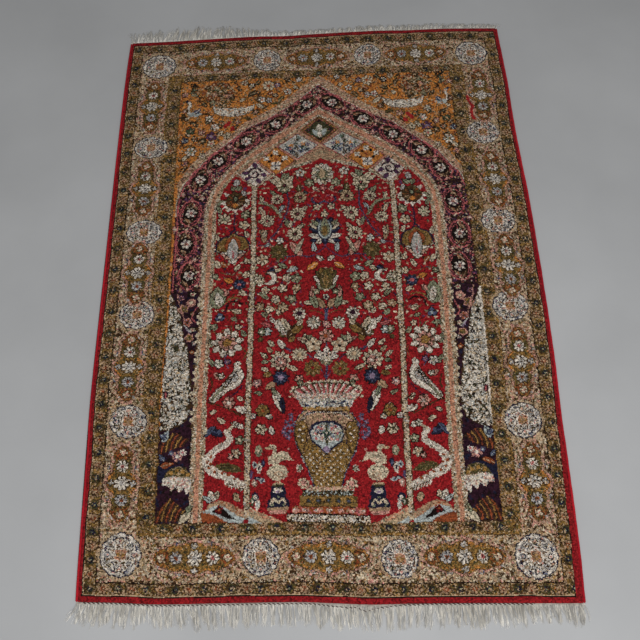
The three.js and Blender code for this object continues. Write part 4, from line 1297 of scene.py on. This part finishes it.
def knotted_sheet(name, knots, face_height, shoulder, other_height, inset, unevenness):
    """A closed sheet the shape of the rug, whose one face is divided into blocks of three by three knots."""
    sheet, places = new_grid(name, BLOCKS_ACROSS, BLOCKS_ALONG)
    across, along = places[:, 0] + 0.5, places[:, 1] + 0.5
    x, y = place_on_rug(across, along)
    rim = np.minimum(
        np.minimum(across, 1 - across) * PLAN_WIDTH, np.minimum(along, 1 - along) * (PLAN_LENGTH - PILE_NEAR)
    )
    toward = np.clip(rim / ROUNDED_RIM, 0, 1)
    uneven = wander(x * 1000, y * 1000, 5, unevenness)
    places[:, 0] = x * (1 - inset / (PLAN_WIDTH / 2000))
    places[:, 1] = y * (1 - inset / (PLAN_LENGTH / 2000))
    places[:, 2] = shoulder + (face_height - shoulder) * np.sqrt(toward) + uneven * toward
    sheet.data.vertices.foreach_set("co", places.ravel())
    close_at(other_height)
    lay_out_knots(sheet.data, knots)
    return sheet


def lay_out_knots(mesh, knots):
    """Gives the mesh its plan view as a map, and each face the nine knots of the cartoon that it carries."""
    across, along = shares_of_rug(*vertex_places(mesh)[:, :2].T)
    across, along = np.clip(across, 3e-4, 1 - 3e-4), np.clip(along, 3e-4, 1 - 3e-4)
    loops = np.empty(len(mesh.loops), int)
    mesh.loops.foreach_get("vertex_index", loops)
    starts, sizes = np.empty(len(mesh.polygons), int), np.empty(len(mesh.polygons), int)
    mesh.polygons.foreach_get("loop_start", starts)
    mesh.polygons.foreach_get("loop_total", sizes)
    plan = np.stack([across[loops], along[loops]], 1)
    first = plan[starts]
    middles = np.add.reduceat(plan, starts) / sizes[:, None]
    for closing in np.flatnonzero(sizes > 4):
        plan[starts[closing]:starts[closing] + sizes[closing]] = first[closing]
    mesh.uv_layers[0].data.foreach_set("uv", plan.astype(np.float32).ravel())
    column = np.clip((middles[:, 0] * BLOCKS_ACROSS).astype(int), 0, BLOCKS_ACROSS - 1)
    row = np.clip((middles[:, 1] * BLOCKS_ALONG).astype(int), 0, BLOCKS_ALONG - 1)
    blocks = knots.reshape(BLOCKS_ALONG, KNOTS_PER_BLOCK, BLOCKS_ACROSS, KNOTS_PER_BLOCK)
    for number in range(KNOTS_PER_BLOCK):
        layer = mesh.attributes.new(f"knot_row_{number}", "FLOAT_VECTOR", "FACE")
        layer.data.foreach_set("vector", blocks[row, number, column].astype(np.float32).ravel())


def operator(operation, swapped=False):
    """Arithmetic of a shade and another value as a Math node."""

    def apply(self, other):
        return self.maths(operation, *((other, self) if swapped else (self, other)))

    return apply


class Shade:
    """A socket in a material. Arithmetic on it adds Math nodes, and node() adds any other node."""

    __add__, __radd__ = operator("ADD"), operator("ADD", True)
    __sub__, __rsub__ = operator("SUBTRACT"), operator("SUBTRACT", True)
    __mul__, __rmul__ = operator("MULTIPLY"), operator("MULTIPLY", True)
    __truediv__, __gt__, __lt__ = operator("DIVIDE"), operator("GREATER_THAN"), operator("LESS_THAN")

    def __init__(self, socket):
        self.socket = socket

    def node(self, kind, settings=None, sockets=None, output=0):
        """Adds a node with its settings, feeds its sockets and gives one of its outputs."""
        made = self.socket.id_data.nodes.new(kind)
        for name, value in (settings or {}).items():
            if name == "stops":
                ramp = made.color_ramp.elements
                for number, (place, colour) in enumerate(value):
                    stop = ramp[number] if number < 2 else ramp.new(place)
                    stop.position = place
                    stop.color = (*dyed(*colour), 1)
            elif name == "blending":
                made.color_ramp.interpolation = value
            else:
                setattr(made, name, value)
        for name, value in (sockets or {}).items():
            if isinstance(value, Shade):
                self.socket.id_data.links.new(value.socket, made.inputs[name])
            else:
                made.inputs[name].default_value = value
        return Shade(made.outputs[output])

    def maths(self, operation, *values):
        """A Math node on these values."""
        return self.node("ShaderNodeMath", {"operation": operation}, dict(enumerate(values)))

    def repeated(self):
        """The part after the point, so that a pattern starts again at each whole number."""
        return self.maths("FRACT", self)

    def ramp(self, *stops):
        """A colour for this value, out of stops that each have a place and a colour as seen."""
        return self.node("ShaderNodeValToRGB", {"stops": stops}, {0: self})

    def mixed(self, colour, factor, blend="MIX"):
        """This colour with another laid over it."""
        settings = {"data_type": "RGBA", "blend_type": blend}
        return self.node("ShaderNodeMix", settings, {0: factor, 6: self, 7: colour}, 2)

    def scaled(self, factor):
        """This colour or vector, made longer or brighter by a value."""
        return self.node("ShaderNodeVectorMath", {"operation": "SCALE"}, {0: self, "Scale": factor})

    def noise(self, scale, detail=2.0, roughness=0.5):
        sockets = {"Vector": self, "Scale": scale, "Detail": detail, "Roughness": roughness}
        return self.node("ShaderNodeTexNoise", {}, sockets)

    def part(self, axis):
        """One of the three parts of a vector or colour."""
        return self.node("ShaderNodeSeparateXYZ", {}, {0: self}, axis)

    def bump(self, height, strength=1.0):
        return self.node("ShaderNodeBump", {}, {"Height": self, "Distance": height, "Strength": strength})


def dyed(red, green, blue):
    """A colour as seen, from 0 to 255, as the light that it gives back."""
    shares = (red / 255, green / 255, blue / 255)
    return tuple(s / 12.92 if s <= 0.04045 else ((s + 0.055) / 1.055) ** 2.4 for s in shares)


def new_material(name, roughness, **sockets):
    """A material with its main shader, and the place on the object where its patterns start."""
    material = bpy.data.materials.new(name)
    material.use_nodes = True
    shader = material.node_tree.nodes["Principled BSDF"]
    shader.inputs["Roughness"].default_value = roughness
    for socket, value in sockets.items():
        shader.inputs[socket.replace("_", " ")].default_value = value
    place = Shade(material.node_tree.nodes.new("ShaderNodeTexCoord").outputs["Object"])
    return material, place, shader


def feed(shader, socket, value):
    """Joins a shade to a socket of the main shader."""
    value.socket.id_data.links.new(value.socket, shader.inputs[socket])


def knot_colour(place):
    """The dye of the knot under each point, with its place in the cartoon counted in knots."""
    plan = place.node("ShaderNodeUVMap", {"uv_map": "OFBake"})
    across, along = plan.part(0) * float(knots_across), plan.part(1) * float(knots_along)
    column, row = (across / 3).repeated() * 3, (along / 3).repeated() * 3
    rows = []
    for number in range(KNOTS_PER_BLOCK):
        name = {"attribute_name": f"knot_row_{number}", "attribute_type": "GEOMETRY"}
        three = place.node("ShaderNodeAttribute", name, {}, 1)
        second, third = column > 1.0, column > 2.0
        rows.append(three.part(0) * (1 - second) + three.part(1) * (second - third) + three.part(2) * third)
    second, third = row > 1.0, row > 2.0
    number = rows[0] * (1 - second) + rows[1] * (second - third) + rows[2] * third
    # A ramp holds 32 stops at most, so each dye has a 32nd part of it.
    places = 32
    stops = [(number / places, colour) for number, colour in enumerate(DYES.values())]
    settings = {"blending": "CONSTANT", "stops": stops}
    return number.node("ShaderNodeValToRGB", settings, {0: (number + 0.5) / places}), across, along


def single_knots(across, along):
    """A number for each knot that is the same all over it, so that no two tufts take the dye alike."""
    cell = {0: across.maths("FLOOR", across), 1: along.maths("FLOOR", along)}
    return across.node(
        "ShaderNodeTexWhiteNoise", {}, {"Vector": across.node("ShaderNodeCombineXYZ", {}, cell)}
    )


back_material, place, shader = new_material("knotted_back", 0.9, Specular_IOR_Level=0.2)
colour, across, along = knot_colour(place)
tone = single_knots(across, along)
bead_x, bead_y = across.repeated() - 0.5, along.repeated() - 0.5
bead = 1 - (bead_x * bead_x * 3.4 + bead_y * bead_y * 3.8)
between = bead < 0.28
colour = colour.mixed((*dyed(168, 156, 134), 1), between * 0.55)
colour = colour.scaled(0.78 + tone * 0.3)
feed(shader, "Base Color", colour)
feed(shader, "Normal", (bead + place.noise(2600.0) * 0.3).bump(0.0006))

BACK_LIFT, BACK_INSET = 0.0001, 0.0002
foundation = knotted_sheet(
    "foundation_back", knots, BACK_LIFT, BACK_SHOULDER, FOUNDATION_HEIGHT, BACK_INSET, 0.0
)
foundation.data.materials.append(back_material)

# The pile: the ends of the same knots, clipped level about 4 mm above the foundation and worn soft.
# They stand in small clumps whose shade on one another is painted into the colour: each clump has its own
# tone, partly dye and partly painted shade, and painted shade darkens it towards its rim. The wool takes the
# dye unevenly from row to row.
pile_material, place, shader = new_material("wool_pile", 0.9, Specular_IOR_Level=0.06, Sheen_Weight=0.015)
colour, across, along = knot_colour(place)
tone = single_knots(across, along)
rows = along.node("ShaderNodeCombineXYZ", {}, {1: along * 0.045, 0: across * 0.0012})
dye_lot = rows.noise(1.0, 3.0)
patch = place.noise(9.0, 3.0)
fibre = place.noise(1500.0, 3.0, 0.7)
CLUMPS_IN_A_METRE = 350.0
cells = {"Vector": place, "Scale": CLUMPS_IN_A_METRE}
clump_rim_shade_and_relief, clump = (place.node("ShaderNodeTexVoronoi", {}, cells, output) for output in (0, 1))
# Painted shade: each clump's own brightness and the darkening towards its rim stand in for the shade that
# the tufts cast on one another.
colour = colour.scaled(
    0.19 + tone * 0.22 + clump.part(0) * 0.95 - clump_rim_shade_and_relief * 0.35 + dye_lot * 0.2 + patch * 0.16 + fibre * 0.16
)
feed(shader, "Base Color", colour)
tuft_x, tuft_y = across.repeated() - 0.5, along.repeated() - 0.5
tuft = 1 - (tuft_x * tuft_x * 1.6 + tuft_y * tuft_y * 2.6)
pile_height = tuft * 0.4 + tone * 0.3 + fibre * 0.6 + (clump.part(1) - clump_rim_shade_and_relief) * 1.1
feed(shader, "Normal", pile_height.bump(0.0013, 0.9))

# The tufts splay as they wear, so on the face each edge in the pattern is a little ragged.
drawn = np.random.default_rng(90)
worn_places = []
for place_of, last in zip(np.indices(knots.shape), (knots_along - 1, knots_across - 1)):
    single = drawn.normal(0, 0.4, knots.shape)
    block = np.kron(drawn.normal(0, 0.45, (BLOCKS_ALONG, BLOCKS_ACROSS)), np.ones((3, 3)))
    slip = np.rint(single + block).astype(int) * framed(19, 27, 21, 19)
    worn_places.append(np.clip(place_of + slip, 0, last))
worn_knots = knots[tuple(worn_places)]
PILE_TOP, PILE_SHOULDER, CLEARANCE, UNEVENNESS = 0.0059, 0.0046, 0.00005, 0.00022
pile = knotted_sheet(
    "wool_pile", worn_knots, PILE_TOP, PILE_SHOULDER, FOUNDATION_HEIGHT + CLEARANCE, 0.0, UNEVENNESS
)
pile.data.materials.append(pile_material)
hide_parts("rug")
for piece in (foundation, pile):
    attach(piece, "root")

# The edge cords: each side's last warps are bundled and overcast with two-ply red wool, turn by turn, so
# that the edge is a firm round cord with fine slanting ridges.
CORD_WIDTH, CORD_HEIGHT, CORD_GAP = 0.0050, 0.0044, 0.0003
CORD_MIDDLE = CORD_HEIGHT * 0.52
CORD_SHORT_OF_CORNER = 0.0004
TURNS_OF_YARN = 600

overcast_red, place, shader = new_material("overcast_yarn", 0.8, Specular_IOR_Level=0.12, Sheen_Weight=0.04)
along_cord = place.node("ShaderNodeUVMap", {"uv_map": "OFBake"})
turn = along_cord.part(1) * float(TURNS_OF_YARN) + along_cord.part(0) * 1.6
turn_tone = turn.node(
    "ShaderNodeTexWhiteNoise", {"noise_dimensions": "1D"}, {"W": turn.maths("FLOOR", turn)}
)
faded = place.noise(5.0, 3.0)
red = faded.ramp((0.35, (150, 16, 30)), (0.65, (178, 26, 38))).scaled(
    0.8 + turn_tone * 0.3 + place.noise(900.0, 3.0) * 0.15
)
feed(shader, "Base Color", red)
ply = (turn * 2.0).repeated() - 0.5
feed(shader, "Normal", (1 - ply * ply * 3.0 + place.noise(2200.0) * 0.3).bump(0.0004, 0.8))


def tube(name, sides, steps, path, shape):
    """A closed tube. Path gives its middle for shares of its length, and shape its reach at each angle."""
    made, places = new_grid(name, sides, steps)
    around, along = places[:, 0] + 0.5, places[:, 1] + 0.5
    middle = path(along)
    step = path(np.clip(along + 1e-4, 0, 1)) - path(np.clip(along - 1e-4, 0, 1))
    step /= np.linalg.norm(step, axis=1, keepdims=True) + 1e-12
    aside_step = np.stack([-step[:, 1], step[:, 0], np.zeros(len(step))], 1)
    reach, rise = shape(around * 2 * np.pi, along)
    places[:] = middle + aside_step * reach[:, None]
    places[:, 2] += rise
    made.data.vertices.foreach_set("co", places.ravel())
    bpy.ops.object.mode_set(mode="EDIT")
    bpy.ops.mesh.select_all(action="SELECT")
    bpy.ops.mesh.remove_doubles(threshold=1e-6)
    bpy.ops.mesh.select_all(action="DESELECT")
    bpy.ops.mesh.select_non_manifold(extend=False)
    bpy.ops.mesh.edge_face_add()
    bpy.ops.mesh.select_all(action="SELECT")
    bpy.ops.mesh.normals_make_consistent(inside=False)
    bpy.ops.object.mode_set(mode="OBJECT")
    bpy.ops.object.shade_smooth()
    return made


def edge_cord(name, node_name, side, outwards):
    """One cord along a side. It swells at each turn of its yarn and tapers at both ends."""
    low, high = side[0][0], side[0][-1]

    def path(along):
        y = low + CORD_SHORT_OF_CORNER + (high - low - 2 * CORD_SHORT_OF_CORNER) * along
        x = np.interp(y, *side) + outwards * (CORD_GAP + CORD_WIDTH / 2)
        x += 0.00012 * np.sin(y * 190) + 0.00016 * np.sin(y * 61 + outwards)
        return np.stack([x, y, np.full(len(y), CORD_MIDDLE)], 1)

    def shape(angle, along):
        ridge = np.abs(np.sin(np.pi * (along * TURNS_OF_YARN + angle / (2 * np.pi) * 1.6)))
        swell = 0.93 + 0.07 * ridge + 0.03 * np.sin(along * 173 + outwards) * np.sin(along * 61)
        end = np.sqrt(np.clip(np.minimum(along, 1 - along) / 0.0012, 0.12, 1))
        return np.cos(angle) * CORD_WIDTH / 2 * swell * end, np.sin(angle) * CORD_HEIGHT / 2 * swell * end

    cord = tube(name, 12, TURNS_OF_YARN * 4, path, shape)
    cord.data.materials.append(overcast_red)
    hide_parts(node_name)
    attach(cord, "root")
    return cord


edge_cords = [
    edge_cord("left_edge_cord", "selvedge_left", left_side, -1),
    edge_cord("right_edge_cord", "selvedge_right", right_side, 1),
]

# The ends: a narrow flat web woven from the pale cotton warps, and beyond it the same warps left loose as
# a fringe. It is worn short on the right of the far end.
NEAR_WEB, FAR_WEB, WEB_RUNS_ON = 0.0040, 0.0050, 0.0038
WEB_RIM, WEB_CROWN, WEB_UNDERSIDE = 0.0014, 0.0005, 0.0001
TUFT_WIDTH = 0.0072
STRAND_JOINTS, STRAND_SIDES = 10, 3
THINNEST, THICKER_BY = 0.00032, 0.00022
# Along each end: millimetres from the middle, how long the loose warps are and how far their tips lean.
NEAR_FRINGE = (
    (-466, 34, -15), (-430, 39, -8), (-330, 37, 5), (-240, 41, 9), (-150, 37, -3), (-40, 39, 4),
    (60, 41, 8), (160, 38, -4), (270, 39, 3), (370, 37, 8), (466, 36, 2)
)
FAR_FRINGE = (
    (-466, 33, -4), (-400, 38, 6), (-320, 43, 11), (-240, 38, 3), (-170, 30, -7), (-100, 17, 5),
    (0, 13, 7), (120, 17, -3), (240, 19, 5), (360, 15, 6), (466, 13, 2)
)

cotton, place, shader = new_material("warp_cotton", 0.85, Specular_IOR_Level=0.2, Sheen_Weight=0.15)
soiled = place.noise(14.0, 4.0)
pale = soiled.ramp((0.3, (214, 208, 196)), (0.7, (240, 237, 230)))
drawn_out = place.node("ShaderNodeCombineXYZ", {}, {0: place.part(0), 1: place.part(1) * 0.1})
yarn_soil_and_shade = place.node("ShaderNodeTexVoronoi", {}, {"Vector": drawn_out, "Scale": 600.0}, 1)
# Each yarn has its own brightness, from half to a little over full: partly soil, partly painted shade for
# the shadows that the loose strands cast on one another.
feed(shader, "Base Color", pale.scaled(0.5 + yarn_soil_and_shade.part(0) * 0.74 + place.noise(700.0, 2.0) * 0.14))
feed(shader, "Normal", place.noise(1800.0, 3.0).bump(0.0003, 0.7))

web_cotton, place, shader = new_material("end_web", 0.85, Specular_IOR_Level=0.2)
warp_x, weft_y = (place.part(0) * 700.0).repeated() - 0.5, (place.part(1) * 1100.0).repeated() - 0.5
weave = 1 - (warp_x * warp_x * 1.6 + weft_y * weft_y * 2.0)
pale = place.noise(40.0, 4.0).ramp((0.3, (206, 198, 184)), (0.7, (238, 234, 224)))
# Painted shade: the threads are darker where they dip under one another between the crowns of the weave.
feed(shader, "Base Color", pale.scaled(0.62 + weave * 0.4))
feed(shader, "Normal", (weave + place.noise(1800.0) * 0.4).bump(0.0005, 0.9))


def end_web(name, side, outwards, width):
    """The woven strip, from the knots out to where the loose warps start."""
    web, places = new_grid(name, 470, 5)
    across, along = places[:, 0] + 0.5, places[:, 1] + 0.5
    low, high = side[0][0] - WEB_RUNS_ON, side[0][-1] + WEB_RUNS_ON
    x = low + (high - low) * across
    frayed = 0.0004 * np.sin(x * 310) + 0.0003 * np.sin(x * 787)
    places[:, 0] = x
    places[:, 1] = np.interp(x, *side) + outwards * (CORD_GAP + along * (width + frayed))
    places[:, 2] = WEB_RIM + WEB_CROWN * np.sin(np.pi * along) + 0.00012 * np.sin(x * 950)
    web.data.vertices.foreach_set("co", places.ravel())
    close_at(WEB_UNDERSIDE)
    web.data.materials.append(web_cotton)
    return web


def loose_warps(name, side, outwards, width, rows, count, seed):
    """Single yarns, each a thin closed strand that wanders from the web to its tip, in loose tufts."""
    drawn = np.random.default_rng(seed)
    joints, sides = STRAND_JOINTS, STRAND_SIDES
    low, high = side[0][0] - WEB_RUNS_ON + 0.0008, side[0][-1] + WEB_RUNS_ON - 0.0008
    root = np.sort(low + (high - low) * drawn.random(count))
    at, reaches, leans = (np.array(column, float) for column in zip(*rows))
    # Tufts of a dozen or so warps cling together; each has its own reach and its own way of leaning.
    tuft = ((root - low) / TUFT_WIDTH + 0.4 * drawn.random(count)).astype(int)
    tuft_middle, tuft_reach, tuft_sway, pull = drawn.random((4, tuft.max() + 1))[:, tuft]
    reach = np.interp(root * 1000, at, reaches) / 1000 * (0.74 + 0.34 * tuft_reach)
    reach = reach * (0.45 + 0.62 * drawn.random(count) ** 0.5)
    lean = np.interp(root * 1000, at, leans) / 1000 + (tuft_sway - 0.5) * 0.014
    gather = low + (tuft + 0.2 + 0.6 * tuft_middle) * TUFT_WIDTH - root
    gather[drawn.random(count) < 0.25] = 0
    t = np.linspace(0, 1, joints)[None, :]
    wave, phase = drawn.random((2, count, 1)) * 2 * np.pi
    size = 0.0008 + 0.0062 * drawn.random((count, 1)) ** 3
    x = root[:, None] + (gather * (0.6 + 0.4 * pull))[:, None] * np.sin(np.pi * 0.6 * t) ** 1.2
    x = x + lean[:, None] * t**1.4 + size * np.sin(t * (5 + wave) + phase) * t
    start = (width - 0.001) * drawn.random(count) ** 0.6
    y = np.interp(root, *side)[:, None] + outwards * (
        CORD_GAP + start[:, None] + (reach + width - start)[:, None] * t
    )
    y = y + outwards * size * 0.6 * np.cos(t * (6 + phase) + wave) * t
    rise = 0.0038 * drawn.random((count, 1)) ** 1.6 + 0.0008
    z = 0.0012 + 0.0012 * (1 - t) ** 6 + rise * np.sin(np.pi * t) + 0.0004 * np.sin(t * 17 + phase) * t
    thick = (THINNEST + THICKER_BY * drawn.random((count, 1))) * (1 - 0.45 * t)
    z = np.maximum(z - 0.0004 * t, thick + 0.00005)
    turn = np.arange(sides) * 2 * np.pi / sides
    ring_x = x[:, :, None] + thick[:, :, None] * np.cos(turn)
    ring_z = z[:, :, None] + thick[:, :, None] * np.sin(turn)
    ring_y = np.broadcast_to(y[:, :, None], ring_x.shape)
    corners = np.stack([ring_x, ring_y, ring_z], -1).reshape(-1, 3)
    first = (np.arange(count) * joints * sides)[:, None, None]
    joint, edge = np.arange(joints - 1)[None, :, None] * sides, np.arange(sides)[None, None, :]
    after = (edge + 1) % sides
    walls = np.stack([first + joint + edge, first + joint + after, first + joint + sides + after,
                      first + joint + sides + edge], -1).reshape(-1, 4)
    caps = np.concatenate([
        first[:, 0] + np.arange(sides)[::-1], first[:, 0] + (joints - 1) * sides + np.arange(sides)
    ])
    mesh = bpy.data.meshes.new(name)
    mesh.from_pydata(corners.tolist(), [], walls.tolist() + caps.tolist())
    strands = bpy.data.objects.new(name, mesh)
    bpy.context.collection.objects.link(strands)
    bpy.ops.object.select_all(action="DESELECT")
    strands.select_set(True)
    bpy.context.view_layer.objects.active = strands
    bpy.ops.object.mode_set(mode="EDIT")
    bpy.ops.mesh.select_all(action="SELECT")
    bpy.ops.mesh.normals_make_consistent(inside=False)
    bpy.ops.object.mode_set(mode="OBJECT")
    bpy.ops.object.shade_smooth()
    strands.data.materials.append(cotton)
    return strands


webs = [end_web("near_web", near_side, -1, NEAR_WEB), end_web("far_web", far_side, 1, FAR_WEB)]
fringes = [
    loose_warps("near_loose_warps", near_side, -1, NEAR_WEB, NEAR_FRINGE, 2200, 7),
    loose_warps("far_loose_warps", far_side, 1, FAR_WEB, FAR_FRINGE, 1900, 8),
]
for strands, node_name in zip(fringes, ("fringe_near", "fringe_far")):
    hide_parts(node_name)
for piece in webs + fringes:
    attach(piece, "root")

# The twined yarns: a dark and a pale cotton yarn, crossed over each other between the warps, lock the near
# web. They have slipped off their line in places, and they show as a row of dark and pale dots.
TWINED = (
    (10, 1.9), (110, 1.9), (141, 2.6), (250, 2.9), (440, 3.1), (470, 5.6), (500, 7.1), (519, 6.2),
    (528, 10.6), (534, 11.9), (550, 9.0), (562, 6.6), (581, 4.6), (607, 2.6), (650, 1.9), (850, 1.9),
)
DOT_PITCH = 0.0042
YARN_HEIGHT, YARN_SWING, YARN_REACH, YARN_RISE = 0.0027, 0.0006, 0.0009, 0.0008


def twined_yarn(name, half_turn, colour):
    """One of the two yarns. It winds round their common middle line, half a turn apart from the other."""

    def middle_line(along):
        u_place = TWINED[0][0] + (TWINED[-1][0] - TWINED[0][0]) * along
        x = near_side[0][0] + (near_side[0][-1] - near_side[0][0]) * u_place / PLAN_WIDTH
        y = np.interp(x, *near_side) - np.interp(u_place, *zip(*TWINED)) / 1000
        return x, y

    def path(along):
        x, y = middle_line(along)
        angle = along * (TWINED[-1][0] - TWINED[0][0]) / 1000 / DOT_PITCH * np.pi + half_turn
        return np.stack([x, y + YARN_SWING * np.cos(angle), YARN_HEIGHT + YARN_SWING * np.sin(angle)], 1)

    def shape(angle, along):
        return np.cos(angle) * YARN_REACH, np.sin(angle) * YARN_RISE

    yarn = tube(name, 8, 1600, path, shape)
    material, place, shader = new_material(name, 0.85, Specular_IOR_Level=0.2)
    twist = place.noise(900.0, 2.0)
    feed(shader, "Base Color", twist.ramp((0.3, [part * 0.8 for part in colour]), (0.7, colour)))
    feed(shader, "Normal", twist.bump(0.0003))
    yarn.data.materials.append(material)
    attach(yarn, "root")
    return yarn


twined = [
    twined_yarn("twined_yarn_dark", 0.0, (64, 44, 44)),
    twined_yarn("twined_yarn_pale", math.pi, (214, 210, 200))
]

# The floor that the rug is laid on, and the room's light. Neither is part of the rug.
bpy.ops.mesh.primitive_plane_add(size=12, location=(0, 0, -0.0006))
floor = bpy.context.object
floor.name = floor.data.name = "floor"
bpy.ops.object.transform_apply(location=True, rotation=False, scale=False)
floor_material, place, shader = new_material("painted_floor", 0.75, Specular_IOR_Level=0.25)
feed(shader, "Base Color", place.noise(3.0, 4.0).ramp((0.3, (170, 171, 172)), (0.7, (181, 182, 183))))
feed(shader, "Normal", place.noise(400.0, 4.0).bump(0.0004, 0.4))
floor.data.materials.append(floor_material)

world = bpy.data.worlds.new("room")
bpy.context.scene.world = world
world.use_nodes = True
world.node_tree.nodes["Background"].inputs["Color"].default_value = (1, 1, 1, 1)
world.node_tree.nodes["Background"].inputs["Strength"].default_value = 0.26

# A tall window behind the one who looks lights the rug from the near end.
bpy.ops.object.light_add(
    type="AREA", location=(0.3, -1.7, 2.3), rotation=(math.radians(28), math.radians(5), 0)
)
window = bpy.context.object
window.name = "window"
window.data.shape = "RECTANGLE"
window.data.size = 2.2
window.data.size_y = 1.6
window.data.energy = 60

# The camera looks down from where the one who stood at the near end held it.
bpy.ops.object.camera_add(
    location=(-0.02491, -0.89084, 1.62835),
    rotation=(math.radians(25.77), 0, math.radians(-1.295)),
)
camera = bpy.context.object
camera.name = "camera"
camera.data.lens = 47.81
camera.data.sensor_width = 36
bpy.context.scene.camera = camera
bpy.context.scene.view_settings.view_transform = "Standard"
